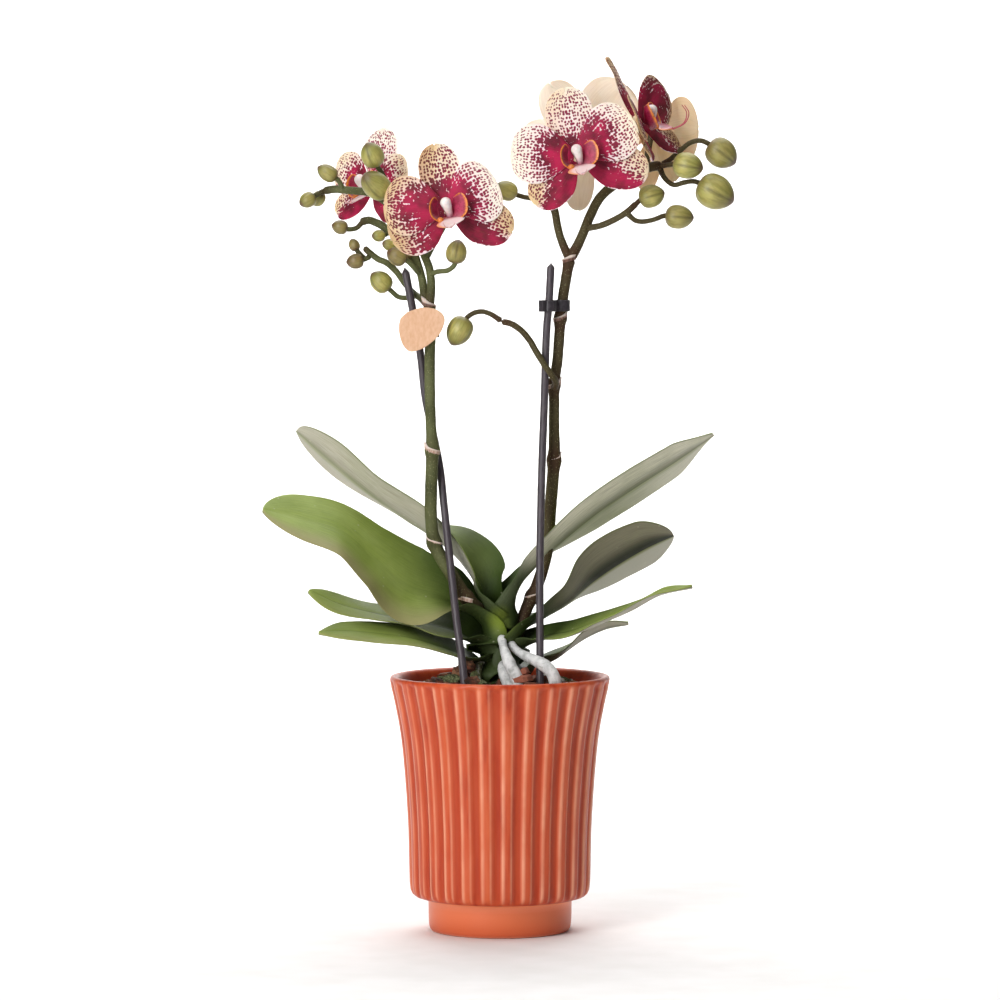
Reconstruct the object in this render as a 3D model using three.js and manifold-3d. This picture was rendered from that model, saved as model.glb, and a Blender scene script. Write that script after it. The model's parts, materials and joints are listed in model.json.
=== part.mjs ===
// A potted moth orchid: a short stem with eight leaves, two branched flower spikes tied to
// stakes, six open flowers and their buds, in a fluted glazed pot.
// Millimetres, +Z up. The origin is the centre of the pot's foot, on the table.
// The front of the plant, where most flowers look, is -Y.

import * as THREE from "three";
import { mergeVertices } from "three/addons/utils/BufferGeometryUtils.js";
import Module from "manifold-3d";

const wasm = await Module();
wasm.setup();

// Clearance between pieces that touch each other
const GAP = 0.3;

// Glazed pot
const POT_HEIGHT = 116;
const RIM_RADIUS = 50;
const POT_FLUTES = 28;
const GROOVE_DEPTH = 1.7;
const GROOVE_TOP = 112;
const GROOVE_TURN = THREE.MathUtils.degToRad(-2.1);
const FOOT_RADIUS = 32.8;
const FOOT_HEIGHT = 15;
const POT_FLOOR = 20.5;

// Thin clear pot inside the glazed one, and the bark in it
const INNER_FLOOR = 20.8;
const INNER_TOP = 105;
const INNER_WALL = 1;
const DRAIN_HOLES = 4;
const DRAIN_RADIUS = 3.5;
const BARK_TOP = 109;
const BARK_MOUND = 112;
const BARK_CHIPS = 12;

// Stems, stakes and roots
const SPIKE_LOW_RADIUS = 2.8;
const SPIKE_HIGH_RADIUS = 2.4;
const FORK_RADIUS = 2.2;
const BRANCH_RADIUS = 1.8;
const TWIG_RADIUS = 1.45;
const PEDICEL_RADIUS = 1.2;
const STAKE_RADIUS = 1.8;
const ROOT_RADIUS = 2.4;

// Blades
const TEPAL_THICKNESS = 0.8;
const TEPAL_WAVE = 0.5;
const LEAF_THICKNESS = 2;
const LEAF_EDGE = 1.1;
const COLUMN_FOOT = [0, -2.2, 4.2];
const COLUMN_CAP = [0, 4.8, 9.6];

const COLOURS = {
  glaze: 0xd9644a,
  clearPlastic: 0xdfe3e0,
  bark: 0x4a3428,
  crown: 0x7c9a3c,
  leafBright: 0x7f9b45,
  leafGrey: 0x8b8f74,
  root: 0xc9cac8,
  greenRoot: 0x6f7a45,
  stem: 0x6b6f4e,
  stake: 0x3a3238,
  tag: 0xebc09c,
  petal: 0xf0d9c0,
  lip: 0xc23a50,
  column: 0xf3e9e4,
};

const UP = new THREE.Vector3(0, 0, 1);

const plant = new THREE.Group();

function at([x, y, z]) {
  return new THREE.Vector3(x, y, z);
}

// Places a finished solid in the plant as a named piece of one colour
function addPiece(name, shape, colour, roughness) {
  const mesh = shape.getMesh();
  const geometry = new THREE.BufferGeometry();
  geometry.setAttribute("position", new THREE.Float32BufferAttribute(mesh.vertProperties, 3));
  geometry.setIndex(Array.from(mesh.triVerts));
  geometry.computeVertexNormals();
  const material = new THREE.MeshStandardMaterial({ color: colour, roughness, metalness: 0 });
  const piece = new THREE.Mesh(geometry, material);
  piece.name = name;
  plant.add(piece);
}

// Turns a closed geometry into a solid, with its faces pointing out
function solid(geometry) {
  const bare = geometry.index ? geometry.clone() : mergeVertices(geometry.clone());
  bare.deleteAttribute("normal");
  bare.deleteAttribute("uv");
  const merged = mergeVertices(bare, 1e-4);
  const corners = merged.attributes.position.array;
  const faces = [];
  let volume = 0;
  const a = new THREE.Vector3();
  const b = new THREE.Vector3();
  const c = new THREE.Vector3();
  for (let i = 0; i < merged.index.count; i += 3) {
    const [p, q, r] = merged.index.array.slice(i, i + 3);
    if (p === q || q === r || r === p) continue;
    faces.push(p, q, r);
    a.fromArray(corners, 3 * p);
    b.fromArray(corners, 3 * q);
    c.fromArray(corners, 3 * r);
    volume += a.dot(b.cross(c));
  }
  if (volume < 0) faces.reverse();
  return new wasm.Manifold(new wasm.Mesh({
    numProp: 3,
    vertProperties: Float32Array.from(corners),
    triVerts: Uint32Array.from(faces),
  }));
}

function join(shapes) {
  return shapes.reduce((whole, shape) => whole.add(shape));
}

function cut(shape, tools) {
  return tools.reduce((rest, tool) => rest.subtract(tool), shape);
}

// The largest of the bodies that a cut leaves
function mainBody(shape) {
  const bodies = shape.decompose();
  return bodies.reduce((best, body) => (body.volume() > best.volume() ? body : best));
}

// A tube of one radius along a smooth curve through the points
function tube(points, radius, sides = 6, steps = points.length - 1) {
  const corners = [];
  for (let i = 0; i < sides; i += 1) {
    const turn = (2 * Math.PI * i) / sides;
    corners.push(new THREE.Vector2(radius * Math.cos(turn), radius * Math.sin(turn)));
  }
  const extrudePath = new THREE.CatmullRomCurve3(points.map(at));
  const section = new THREE.Shape(corners);
  return solid(new THREE.ExtrudeGeometry(section, { steps, extrudePath, bevelEnabled: false }));
}

// A turned shape whose profile of [radius, height] starts and ends on the axis
function turned(profile, segments) {
  const outline = profile.map(([radius, height]) => new THREE.Vector2(radius, height));
  return solid(new THREE.LatheGeometry(outline, segments).rotateX(Math.PI / 2));
}

// Closes two grids of points, one over the other, into a blade. Both faces are split into
// triangles along the same diagonals.
function slab(top, bottom) {
  const rows = top.length;
  const columns = top[0].length;
  const positions = [...top.flat(), ...bottom.flat()].flatMap((p) => p.toArray());
  const under = rows * columns;
  const index = [];
  const quad = (a, b, c, d) => index.push(a, b, c, a, c, d);
  for (let i = 0; i + 1 < rows; i += 1) {
    for (let j = 0; j + 1 < columns; j += 1) {
      const a = i * columns + j;
      const b = a + columns;
      quad(a, b, b + 1, a + 1);
      index.push(under + a, under + b + 1, under + b);
      index.push(under + a, under + a + 1, under + b + 1);
    }
  }
  const last = columns - 1;
  for (let i = 0; i + 1 < rows; i += 1) {
    const a = i * columns;
    const b = a + columns;
    quad(a, a + under, b + under, b);
    quad(a + last, b + last, b + last + under, a + last + under);
  }
  const end = (rows - 1) * columns;
  for (let j = 0; j < last; j += 1) {
    quad(j, j + 1, j + 1 + under, j + under);
    quad(end + j, end + j + under, end + j + 1 + under, end + j + 1);
  }
  const geometry = new THREE.BufferGeometry();
  geometry.setAttribute("position", new THREE.Float32BufferAttribute(positions, 3));
  geometry.setIndex(index);
  return solid(geometry);
}

// The glazed pot: a straight body that flares to the rim, with grooves all round, on a foot
function glazedPot() {
  // Outer radius over the ribs, by height
  const body = [
    [36.2, 15.2], [39.8, 16.8], [41, 21], [41.9, 52], [44.9, 88], [48, 105],
    [49.4, GROOVE_TOP], [RIM_RADIUS, 114.4], [RIM_RADIUS - 1, POT_HEIGHT],
  ];
  const grooveShare = (height) => {
    const foot = THREE.MathUtils.smoothstep(height, 15, 21);
    const head = 1 - THREE.MathUtils.smoothstep(height, GROOVE_TOP - 7, GROOVE_TOP);
    return foot * head;
  };
  // One flute is a flat rib and then a groove, deepest at its middle
  const steps = [0, 0.44, 0.72];
  const depths = [0, 0, 1];
  const positions = [];
  const index = [];
  const around = POT_FLUTES * steps.length;
  for (const [radius, height] of body) {
    for (let flute = 0; flute < POT_FLUTES; flute += 1) {
      steps.forEach((step, k) => {
        const turn = (2 * Math.PI * (flute + step - 0.72)) / POT_FLUTES - Math.PI / 2 + GROOVE_TURN;
        const depth = GROOVE_DEPTH * depths[k] * grooveShare(height);
        const r = radius - depth;
        positions.push(r * Math.cos(turn), r * Math.sin(turn), height);
      });
    }
  }
  const bottom = positions.length / 3;
  positions.push(0, 0, body[0][1]);
  const top = bottom + 1;
  positions.push(0, 0, POT_HEIGHT);
  for (let i = 0; i < around; i += 1) {
    const next = (i + 1) % around;
    index.push(bottom, next, i);
    for (let row = 0; row + 1 < body.length; row += 1) {
      const a = row * around;
      const b = a + around;
      index.push(a + i, a + next, b + next, a + i, b + next, b + i);
    }
    const rim = (body.length - 1) * around;
    index.push(rim + i, rim + next, top);
  }
  const geometry = new THREE.BufferGeometry();
  geometry.setAttribute("position", new THREE.Float32BufferAttribute(positions, 3));
  geometry.setIndex(index);
  const foot = turned([
    [0, 0], [FOOT_RADIUS - 3, 0], [FOOT_RADIUS - 1.1, 0.9], [FOOT_RADIUS - 0.5, 3],
    [FOOT_RADIUS, FOOT_HEIGHT + 2], [0, FOOT_HEIGHT + 2],
  ], 28);
  const cavity = turned([
    [0, POT_FLOOR], [35, POT_FLOOR], [37.2, POT_FLOOR + 3], [37.9, 50], [41.2, 90],
    [44.8, 111], [45.4, 114.6], [47.6, POT_HEIGHT + 0.6], [0, POT_HEIGHT + 0.6],
  ], 36);
  return cut(join([solid(geometry), foot]), [cavity]);
}

// Outer radius of the thin inner pot at a height
function innerRadius(height) {
  return THREE.MathUtils.mapLinear(height, INNER_FLOOR, INNER_TOP, 33.5, 41.6);
}

function innerPot() {
  const low = innerRadius(INNER_FLOOR);
  const high = innerRadius(INNER_TOP - 3);
  const outside = turned([
    [0, INNER_FLOOR], [low, INNER_FLOOR], [high, INNER_TOP - 3], [high + 1.3, INNER_TOP - 2],
    [high + 1.3, INNER_TOP], [0, INNER_TOP],
  ], 24);
  const inside = turned([
    [0, INNER_FLOOR + INNER_WALL], [low - INNER_WALL, INNER_FLOOR + INNER_WALL],
    [high - INNER_WALL, INNER_TOP + 1], [0, INNER_TOP + 1],
  ], 24);
  const holes = [];
  for (let i = 0; i < DRAIN_HOLES; i += 1) {
    const turn = (2 * Math.PI * i) / DRAIN_HOLES;
    const hole = new THREE.CylinderGeometry(DRAIN_RADIUS, DRAIN_RADIUS, 6, 8).rotateX(Math.PI / 2);
    holes.push(solid(hole.translate(20 * Math.cos(turn), 20 * Math.sin(turn), INNER_FLOOR)));
  }
  return cut(outside, [inside, ...holes]);
}

// The rim of the thin inner pot, grown to make room for it in the loose bark
function innerPotRim(grow) {
  const high = innerRadius(INNER_TOP - 3);
  return turned([
    [high - INNER_WALL - grow, INNER_TOP - 12], [high + 4, INNER_TOP - 12], [high + 4, INNER_TOP + grow],
    [high - INNER_WALL - grow, INNER_TOP + grow], [high - INNER_WALL - grow, INNER_TOP - 12],
  ], 24);
}

// Seeded draw between two values
let seed = 7;
function draw(low, high) {
  seed = (seed * 16807) % 2147483647;
  return low + (high - low) * (seed / 2147483647);
}

function barkHeight(radius) {
  return BARK_MOUND - (BARK_MOUND - BARK_TOP) * (radius / 42) ** 2;
}

// Bark filling with loose chips on its surface
function barkFilling() {
  const low = innerRadius(INNER_FLOOR) - INNER_WALL - GAP;
  const high = innerRadius(INNER_TOP - 3) - INNER_WALL - GAP;
  const plug = turned([
    [0, INNER_FLOOR + INNER_WALL + GAP], [low, INNER_FLOOR + INNER_WALL + GAP],
    [high, INNER_TOP], [high, barkHeight(high)], [high * 0.6, barkHeight(high * 0.6)],
    [0, BARK_MOUND],
  ], 24);
  const chips = [];
  for (let i = 0; i < BARK_CHIPS; i += 1) {
    const turn = 2.4 * i;
    const radius = 36 * Math.sqrt((i + 0.5) / BARK_CHIPS);
    const chip = new THREE.BoxGeometry(draw(8, 15), draw(6, 10), draw(5, 7.5));
    chip.rotateX(draw(-0.5, 0.5)).rotateY(draw(-0.5, 0.5)).rotateZ(draw(0, Math.PI));
    const height = barkHeight(radius) - draw(-0.2, 1.2);
    chips.push(solid(chip.translate(radius * Math.cos(turn), radius * Math.sin(turn), height)));
  }
  return join([plug, ...chips]);
}

// The short upright stem that the leaves, roots and spikes grow from
function crownStem(grow = 0) {
  return turned([
    [0, 102 - grow], [4 + grow, 102 - grow], [6.5 + grow, 112], [6.5 + grow, 128],
    [5 + grow, 140], [3 + grow, 148], [0, 152 + grow],
  ], 10).translate([-0.5, 0, 0]);
}

// Aerial roots, from the stem over the rim of the bark and down into it
const ROOTS = [
  [[-1, -6.5, 137], [1.5, -14, 130.5], [3, -19, 126], [5.5, -23, 120], [8, -25, 114], [9, -26, 104]],
  [[3.5, -5.5, 135], [6.5, -10, 130.5], [10, -14.5, 128], [14.8, -20.3, 126], [20, -24.5, 124.5],
    [24, -26.8, 121], [25.4, -27.4, 115], [24.6, -26.6, 104]],
  [[0, -8, 121], [-1, -15, 120], [-0.5, -19, 116], [1.5, -22, 110], [3, -23, 102]],
  [[-7, -3, 124], [-10, -9, 121], [-11, -14, 116], [-11, -17, 108], [-10, -18, 102]],
];

function root(points, grow = 0) {
  return tube(points, ROOT_RADIUS + grow, 7);
}

// Each leaf has its rib from the base to the tip, and at the same points its half width, its
// roll in degrees (front edge down is plus) and the fold of each half over the rib
const LEAVES = {
  leaf_left_top: {
    rib: [[-2, 0, 142], [-9.5, 3, 157], [-23, 8, 173], [-42, 14, 186], [-60, 21, 198.5],
      [-77, 27, 212], [-93, 34, 226]],
    half: [8, 12.5, 15.5, 16, 15, 11, 1.5],
    roll: [10, 26, 2, -29, -33, -33, -20],
    fold: [58, 46, 32, 16, 10, 8, 4],
    colour: COLOURS.leafGrey,
  },
  leaf_right_top: {
    rib: [[2, 0, 141], [12, 2, 157.5], [27, 6, 172.5], [44, 10, 186.5], [61.5, 15, 199],
      [80, 21, 211], [97.5, 26, 224.5]],
    half: [9, 12, 14.5, 16, 15.5, 12, 2],
    roll: [-6, -22, -32, -38, -40, -42, -28],
    fold: [58, 36, 20, 14, 12, 9, 4],
    colour: COLOURS.leafGrey,
  },
  leaf_left_large: {
    rib: [[-3, -1, 135], [-24, -3, 150.5], [-41, -8, 157.5], [-57, -13, 169.5], [-72, -18, 181],
      [-89.5, -24, 188], [-106, -30, 192.5]],
    half: [9, 17, 22, 22, 20.5, 15.5, 2.5],
    roll: [22, 46, 56, 42, 34, 34, 35],
    fold: [55, 20, 6, 5, 4, 4, 4],
    colour: COLOURS.leafBright,
  },
  leaf_right_middle: {
    rib: [[3, 2, 132], [18.5, 8, 141], [30, 11, 148], [41.5, 14, 157.5], [54, 15, 166],
      [67, 15.5, 173.5], [79, 16, 179]],
    half: [9, 10, 14, 18.5, 18.5, 14.5, 3],
    roll: [-6, -16, -26, -36, -40, -40, -30],
    fold: [55, 26, 14, 14, 14, 10, 5],
    colour: COLOURS.leafGrey,
  },
  leaf_left_low: {
    rib: [[-3, 0, 124], [-17, -2, 131.5], [-31, -4, 137.5], [-45, -6, 141.5], [-59, -7, 144.5],
      [-73, -8.5, 148.5], [-86.5, -10, 155]],
    half: [9, 13, 15, 16, 15, 10.5, 2],
    roll: [14, 30, 22, 11, 12, 20, 30],
    fold: [55, 25, 12, 8, 5, 4, 4],
    colour: COLOURS.leafBright,
  },
  leaf_right_low: {
    rib: [[3, 0, 124], [17.5, -1.5, 132.5], [32, -9, 136], [45.5, -14, 141.5], [59, -19, 147.5],
      [72, -25, 155], [86, -30, 158.5]],
    half: [8, 9, 12.5, 13, 12, 8, 1.2],
    roll: [8, 15, 14, 8, 10, 8, 5],
    fold: [50, 16, 9, 8, 8, 8, 4],
    colour: COLOURS.leafBright,
  },
  leaf_left_bottom: {
    rib: [[-3, -1, 116], [-17.5, -10, 125], [-30, -17, 130.5], [-42.5, -23, 134.5], [-55.5, -28, 136.5],
      [-68.5, -32, 138], [-81, -36, 138]],
    half: [8, 11, 13, 14.5, 14, 10, 1.5],
    roll: [12, 20, 18, 17, 18, 18, 18],
    fold: [50, 18, 9, 6, 5, 4, 3],
    colour: COLOURS.leafBright,
  },
  leaf_right_bottom: {
    rib: [[3, 1, 115], [14.5, 11, 119], [23.5, 18, 121.5], [31.5, 24, 126.5], [39.5, 28, 131.5],
      [49, 32, 135.5], [59, 36, 137]],
    half: [8, 9, 10, 10.5, 9.5, 7, 1.5],
    roll: [-6, -14, -12, -16, -20, -20, -15],
    fold: [50, 20, 15, 10, 8, 6, 4],
    colour: COLOURS.leafGrey,
  },
};

function leaf({ rib, half, roll, fold }, grow = 0) {
  const path = new THREE.CatmullRomCurve3(rib.map(at));
  const section = new THREE.CatmullRomCurve3(half.map((h, i) => at([h, roll[i], fold[i]])));
  const stations = 9;
  const top = [];
  const bottom = [];
  for (let i = 0; i < stations; i += 1) {
    const t = Math.sin((0.5 * Math.PI * i) / (stations - 1));
    const centre = path.getPoint(t);
    const along = path.getTangent(t);
    const [width, turn, bend] = section.getPoint(t).toArray();
    const front = new THREE.Vector3().crossVectors(along, UP).normalize();
    if (front.y > 0) front.negate();
    const rise = UP.clone().addScaledVector(along, -along.z).normalize();
    const tilt = THREE.MathUtils.degToRad(turn);
    const side = front.clone().multiplyScalar(Math.cos(tilt)).addScaledVector(rise, -Math.sin(tilt));
    const face = rise.clone().multiplyScalar(Math.cos(tilt)).addScaledVector(front, Math.sin(tilt));
    const slope = THREE.MathUtils.degToRad(bend);
    const upper = [];
    const lower = [];
    for (const u of [-1, -0.55, 0, 0.55, 1]) {
      const reach = (width + grow) * u;
      const point = centre.clone().addScaledVector(side, reach * Math.cos(slope));
      point.addScaledVector(face, Math.abs(reach) * Math.sin(slope));
      const thickness = THREE.MathUtils.lerp(LEAF_THICKNESS, LEAF_EDGE, Math.abs(u)) / 2 + grow;
      upper.push(point.clone().addScaledVector(face, thickness));
      lower.push(point.clone().addScaledVector(face, -thickness));
    }
    top.push(upper);
    bottom.push(lower);
  }
  return slab(top, bottom);
}

// A swollen joint on a stem with its dry scale: a short collar that widens to one side
function collar([x, y, z], radius, height = 5) {
  const ring = new THREE.CylinderGeometry(radius + 0.7, radius + 0.2, height, 7).rotateX(Math.PI / 2);
  return solid(ring.translate(x, y, z));
}

// A bud on its stalk, from the stem to the bud's tip
function budOnStalk({ stalk, length, width }, grow = 0) {
  const end = at(stalk[stalk.length - 1]);
  const before = at(stalk[stalk.length - 2]);
  const toward = end.clone().sub(before).normalize();
  const w = width / 2 + grow;
  const egg = new THREE.LatheGeometry([
    new THREE.Vector2(0, -0.5 * length), new THREE.Vector2(0.72 * w, -0.36 * length),
    new THREE.Vector2(w, 0), new THREE.Vector2(0.72 * w, 0.32 * length),
    new THREE.Vector2(0, 0.5 * length + grow),
  ], 5);
  const turn = new THREE.Quaternion().setFromUnitVectors(new THREE.Vector3(0, 1, 0), toward);
  egg.applyQuaternion(turn).translate(end.x, end.y, end.z);
  return join([tube(stalk, PEDICEL_RADIUS + grow, 4), solid(egg)]);
}

const LEFT_SPIKE = {
  stems: [
    [SPIKE_LOW_RADIUS, [[-8, 0, 134], [-11.5, -5, 142], [-16, -8, 151.5], [-21.5, -10.5, 161.5],
      [-27, -11, 171], [-29.5, -11, 176.5]]],
    [SPIKE_LOW_RADIUS, [[-29.5, -11, 176], [-31, -11, 187], [-31, -11, 203], [-30.5, -11, 219]]],
    [SPIKE_HIGH_RADIUS, [[-30.5, -11, 218], [-31, -11, 228], [-31.5, -11, 242], [-31.5, -11, 264],
      [-31, -11, 275], [-32, -10, 285]]],
    [BRANCH_RADIUS, [[-32, -10, 283], [-34, -8, 288.5], [-35, -6, 295], [-37, -3, 302], [-39.5, 0, 308.5],
      [-44.5, 3, 314], [-49.5, 5, 317], [-55, 6, 320.5], [-59.5, 6, 322], [-63.5, 6, 321]]],
    [BRANCH_RADIUS, [[-32, -10, 283], [-31, -10, 290.5], [-31.5, -8, 299], [-34.5, -3, 307],
      [-40, 1, 316.5], [-45, 3, 324.5], [-50, 3, 329], [-54.5, 2, 332.5], [-59, 2, 334.5], [-68, 2, 335.5],
      [-75.5, 3, 336], [-80, 3, 335]]],
    [TWIG_RADIUS, [[-33.5, -8.5, 285], [-36, -2, 287], [-39.5, 2.5, 289.5], [-43, 3.5, 293.5],
      [-47, 3, 299], [-51.5, 2, 303], [-55, 2, 304.5], [-60.5, 2, 307.5]]],
  ],
  joints: [
    [[-16, -8, 150.5], SPIKE_LOW_RADIUS], [[-29.5, -11, 177], SPIKE_LOW_RADIUS],
    [[-30.5, -11, 218.5], SPIKE_LOW_RADIUS], [[-32, -10, 284], SPIKE_HIGH_RADIUS],
  ],
  buds: [
    { stalk: [[-49, 3, 328.5], [-49.5, 0, 333], [-52, -4, 341], [-55, -8, 346], [-57.5, -10.5, 351.5]],
      length: 12, width: 10.5 },
    { stalk: [[-46, 3, 325.5], [-46.5, -2, 329], [-49.5, -7, 332.5], [-56, -13, 338]],
      length: 16, width: 12 },
    { stalk: [[-71, 2, 335.5], [-72, 1, 338.5], [-74, 0, 341], [-78, 0, 343.5]], length: 10, width: 7.5 },
    { stalk: [[-79, 3, 335.5], [-82, 2, 334], [-84.5, 1, 332.5], [-87, 0, 331]], length: 8, width: 7 },
    { stalk: [[-79, 3, 335.5], [-80.5, 5, 334.5], [-81.5, 7, 333], [-82.5, 8.5, 331.5]],
      length: 8, width: 6.5 },
    { stalk: [[-62, 6, 321.5], [-65, 5, 318.5], [-68.5, 4, 318], [-72.5, 4, 319]], length: 7.5, width: 6.5 },
    { stalk: [[-58, 2, 306], [-61, 1, 304.5], [-63, 0.5, 303.8], [-65.5, 0, 303.5]], length: 8, width: 7 },
    { stalk: [[-60.5, 2, 307.5], [-62.5, 2.5, 308], [-64.5, 3, 309], [-66, 3.5, 310]],
      length: 5, width: 4.5 },
    { stalk: [[-38, 1.5, 288], [-42, 3, 287], [-46, 3, 287.5], [-49, 2, 290], [-54, 1, 294.5]],
      length: 11, width: 9.5 },
    { stalk: [[-35.5, -5, 297], [-38.5, -7.5, 300.5], [-41.5, -9, 303.5], [-46.5, -10, 306]],
      length: 9.5, width: 8.5 },
    { stalk: [[-37, -3, 301], [-39.5, -2, 303], [-41, -1, 305], [-42, -1, 308]], length: 7, width: 5.5 },
    { stalk: [[-31.5, -8.5, 297.5], [-28, -11, 299], [-23.5, -13, 299.5], [-20.5, -14, 302],
      [-19.5, -14, 308]], length: 11, width: 9.5 },
    { stalk: [[-49.5, 5, 317], [-52, 3, 315.5], [-53.5, 2, 315], [-55, 1, 315]], length: 6.5, width: 5.5 },
    { stalk: [[-43.5, 2.5, 313.5], [-46, 0, 311], [-48, -1, 310.5], [-50, -2, 311]], length: 7, width: 5.5 },
  ],
};

const RIGHT_SPIKE = {
  stems: [
    [SPIKE_LOW_RADIUS, [[7, 4, 132], [9.5, 5.5, 139], [12.5, 6, 147], [16.5, 6, 155.5], [19.5, 5.5, 164.5],
      [21.5, 5, 173.5], [22.8, 4, 191], [24.5, 3, 214]]],
    [SPIKE_HIGH_RADIUS, [[24.5, 3, 213], [24.5, 2.5, 228], [24.5, 2, 241], [24.5, 2, 248]]],
    [SPIKE_HIGH_RADIUS, [[24.5, 2, 247], [26, 2, 259], [26.8, 2, 270], [27.5, 2, 280.5], [29, 2, 290.5],
      [31.5, 2, 305.5]]],
    [BRANCH_RADIUS, [[31.5, 2, 304.5], [28.5, 2, 311], [26.5, 2, 317], [25, 2, 325], [23.5, 1.5, 331],
      [24.5, 1, 338], [28, 0.5, 345], [32, 0, 350]]],
    [FORK_RADIUS, [[31.5, 2, 304.5], [35, 3, 310.5], [37.5, 4, 316], [41, 6, 324.5], [45.5, 8, 332.5],
      [52.5, 10, 338.5], [60.5, 10, 343], [68, 9, 346], [73.5, 8, 347]]],
    [TWIG_RADIUS, [[24.5, 1, 246], [25.2, -4, 249], [23.6, -8.8, 252], [20, -9.5, 257], [16, -9, 263.5],
      [13, -8.5, 268.5], [9.5, -8, 272.5], [5, -8, 275.5], [0.5, -8, 276.5]]],
    [TWIG_RADIUS, [[38.5, 5, 318.5], [45, 2, 319.5], [52, 0, 322.5], [57, -1, 325.5], [62, -1, 330]]],
  ],
  joints: [
    [[14.5, 6, 151.5], SPIKE_LOW_RADIUS - 0.2], [[24.5, 3, 213.5], SPIKE_HIGH_RADIUS],
    [[24.5, 2, 247.5], SPIKE_HIGH_RADIUS], [[27.2, 2, 277.8], SPIKE_HIGH_RADIUS],
    [[31.3, 2, 304.5], SPIKE_HIGH_RADIUS],
  ],
  buds: [
    { stalk: [[1, -8, 276.5], [-4.5, -8, 280], [-8.5, -8, 281], [-12.5, -8, 280], [-15.5, -8, 277.5],
      [-18.5, -8, 272]], length: 14, width: 11.5 },
    { stalk: [[61, -1, 329], [63, -1.5, 331], [65, -2, 332], [68.5, -2, 333]], length: 12, width: 10.5 },
    { stalk: [[57, -1, 325.5], [61, -1, 322], [65.5, -1, 321.5], [70, -1, 322.5], [74, -1, 324],
      [81, -1, 323.5]], length: 13, width: 11 },
    { stalk: [[73, 8, 347], [77, 8, 349.5], [81.5, 7, 353.5], [86, 7, 357], [90.5, 7, 358],
      [94.5, 7, 356.5], [100.5, 7, 352]], length: 15, width: 13.5 },
    { stalk: [[72.5, 8, 346.5], [76, 4, 347], [80, 1, 347.5], [85, -1, 346.5]], length: 14, width: 12 },
    { stalk: [[72, 8, 346.5], [74.5, 6, 341], [78.5, 5, 338], [83, 4, 339], [88, 3, 339.5],
      [97.5, 2, 334.5]], length: 18, width: 16 },
    { stalk: [[23.5, 1.5, 331.5], [18, 3, 331.5], [13.5, 3, 332], [9, 1, 333], [2.5, -2, 335.5]],
      length: 11, width: 9 },
  ],
};

// A flower spike with its branches, joints, buds and the stalks of its open flowers
function spike({ stems, joints, buds }, flowerStalks, grow = 0) {
  return join([
    ...stems.map(([radius, points]) => tube(points, radius + grow, radius > BRANCH_RADIUS ? 7 : 5)),
    ...joints.map(([place, radius]) => collar(place, radius + grow)),
    ...buds.map((bud) => budOnStalk(bud, grow)),
    ...flowerStalks.map((points) => tube(points, PEDICEL_RADIUS + 0.3 + grow, 5)),
  ]);
}

// Open flowers. A tepal is [turn from the top in degrees, length, width, lean towards the front].
const FLOWERS = {
  flower_left_front: {
    centre: [-23.5, -20, 327.5], facing: [-0.05, -1, 0.02], spike: "left",
    stalkFrom: [-33.5, -4.5, 305],
    petals: [[-87, 28.5, 27, 4], [62, 26, 29, 4]],
    sepals: [[-12, 29.5, 19, 0], [-131, 28.5, 24, 3], [110, 31, 21, 2]],
  },
  flower_left_back: {
    centre: [-57.5, 22, 337.5], facing: [-0.72, -0.68, 0.1], spike: "left",
    stalkFrom: [-40, 1, 316.5],
    petals: [[-68, 25, 20, 8], [62, 22, 17, -4]],
    sepals: [[3, 27, 22, 0], [-115, 28, 15, 4], [138, 20, 14, 0]],
  },
  flower_right_front: {
    centre: [34.5, -14, 351], facing: [0, -1, 0.04], spike: "right",
    stalkFrom: [28, 0.5, 345],
    petals: [[-88, 30, 27, 4], [56, 30, 27, 4]],
    sepals: [[-10, 31, 22, 0], [-140, 29, 20, 3], [104, 33, 21, 2]],
  },
  flower_right_back: {
    centre: [36.5, 13, 357.5], facing: [-0.1, 1, 0.1], spike: "right",
    stalkFrom: [30, 0.3, 347.5],
    petals: [[-38, 33, 28, 2], [95, 28, 24, 2]],
    sepals: [[29, 31, 20, 0], [-108, 26, 18, 0], [178, 31, 14, 0]],
  },
  flower_right_side: {
    centre: [61.5, 0, 366.5], facing: [0.93, 0.08, 0.36], spike: "right",
    stalkFrom: [58, 10.2, 341.5],
    petals: [[-82, 23, 24, 6], [78, 25, 22, 32]],
    sepals: [[0, 32, 17, 2], [-138, 24, 16, 5], [138, 24, 16, 32]],
  },
  flower_right_far: {
    centre: [71, 30, 363], facing: [0.3, 0.95, 0.05], spike: "right",
    stalkFrom: [66, 9.5, 345.5],
    petals: [[-88, 20, 30, 4], [78, 20, 22, 4]],
    sepals: [[0, 23, 13, 0], [-158, 25, 12, 0], [170, 28, 12, 0]],
  },
};

// Half of a tepal's width along its length: a narrow claw that widens and ends round
function tepalHalf(t, widest) {
  if (t < widest) return 0.16 + 0.84 * Math.sin((0.5 * Math.PI * t) / widest) ** 1.3;
  return (1 - ((t - widest) / (1 - widest)) ** 2.3) ** (1 / 2.3);
}

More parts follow.
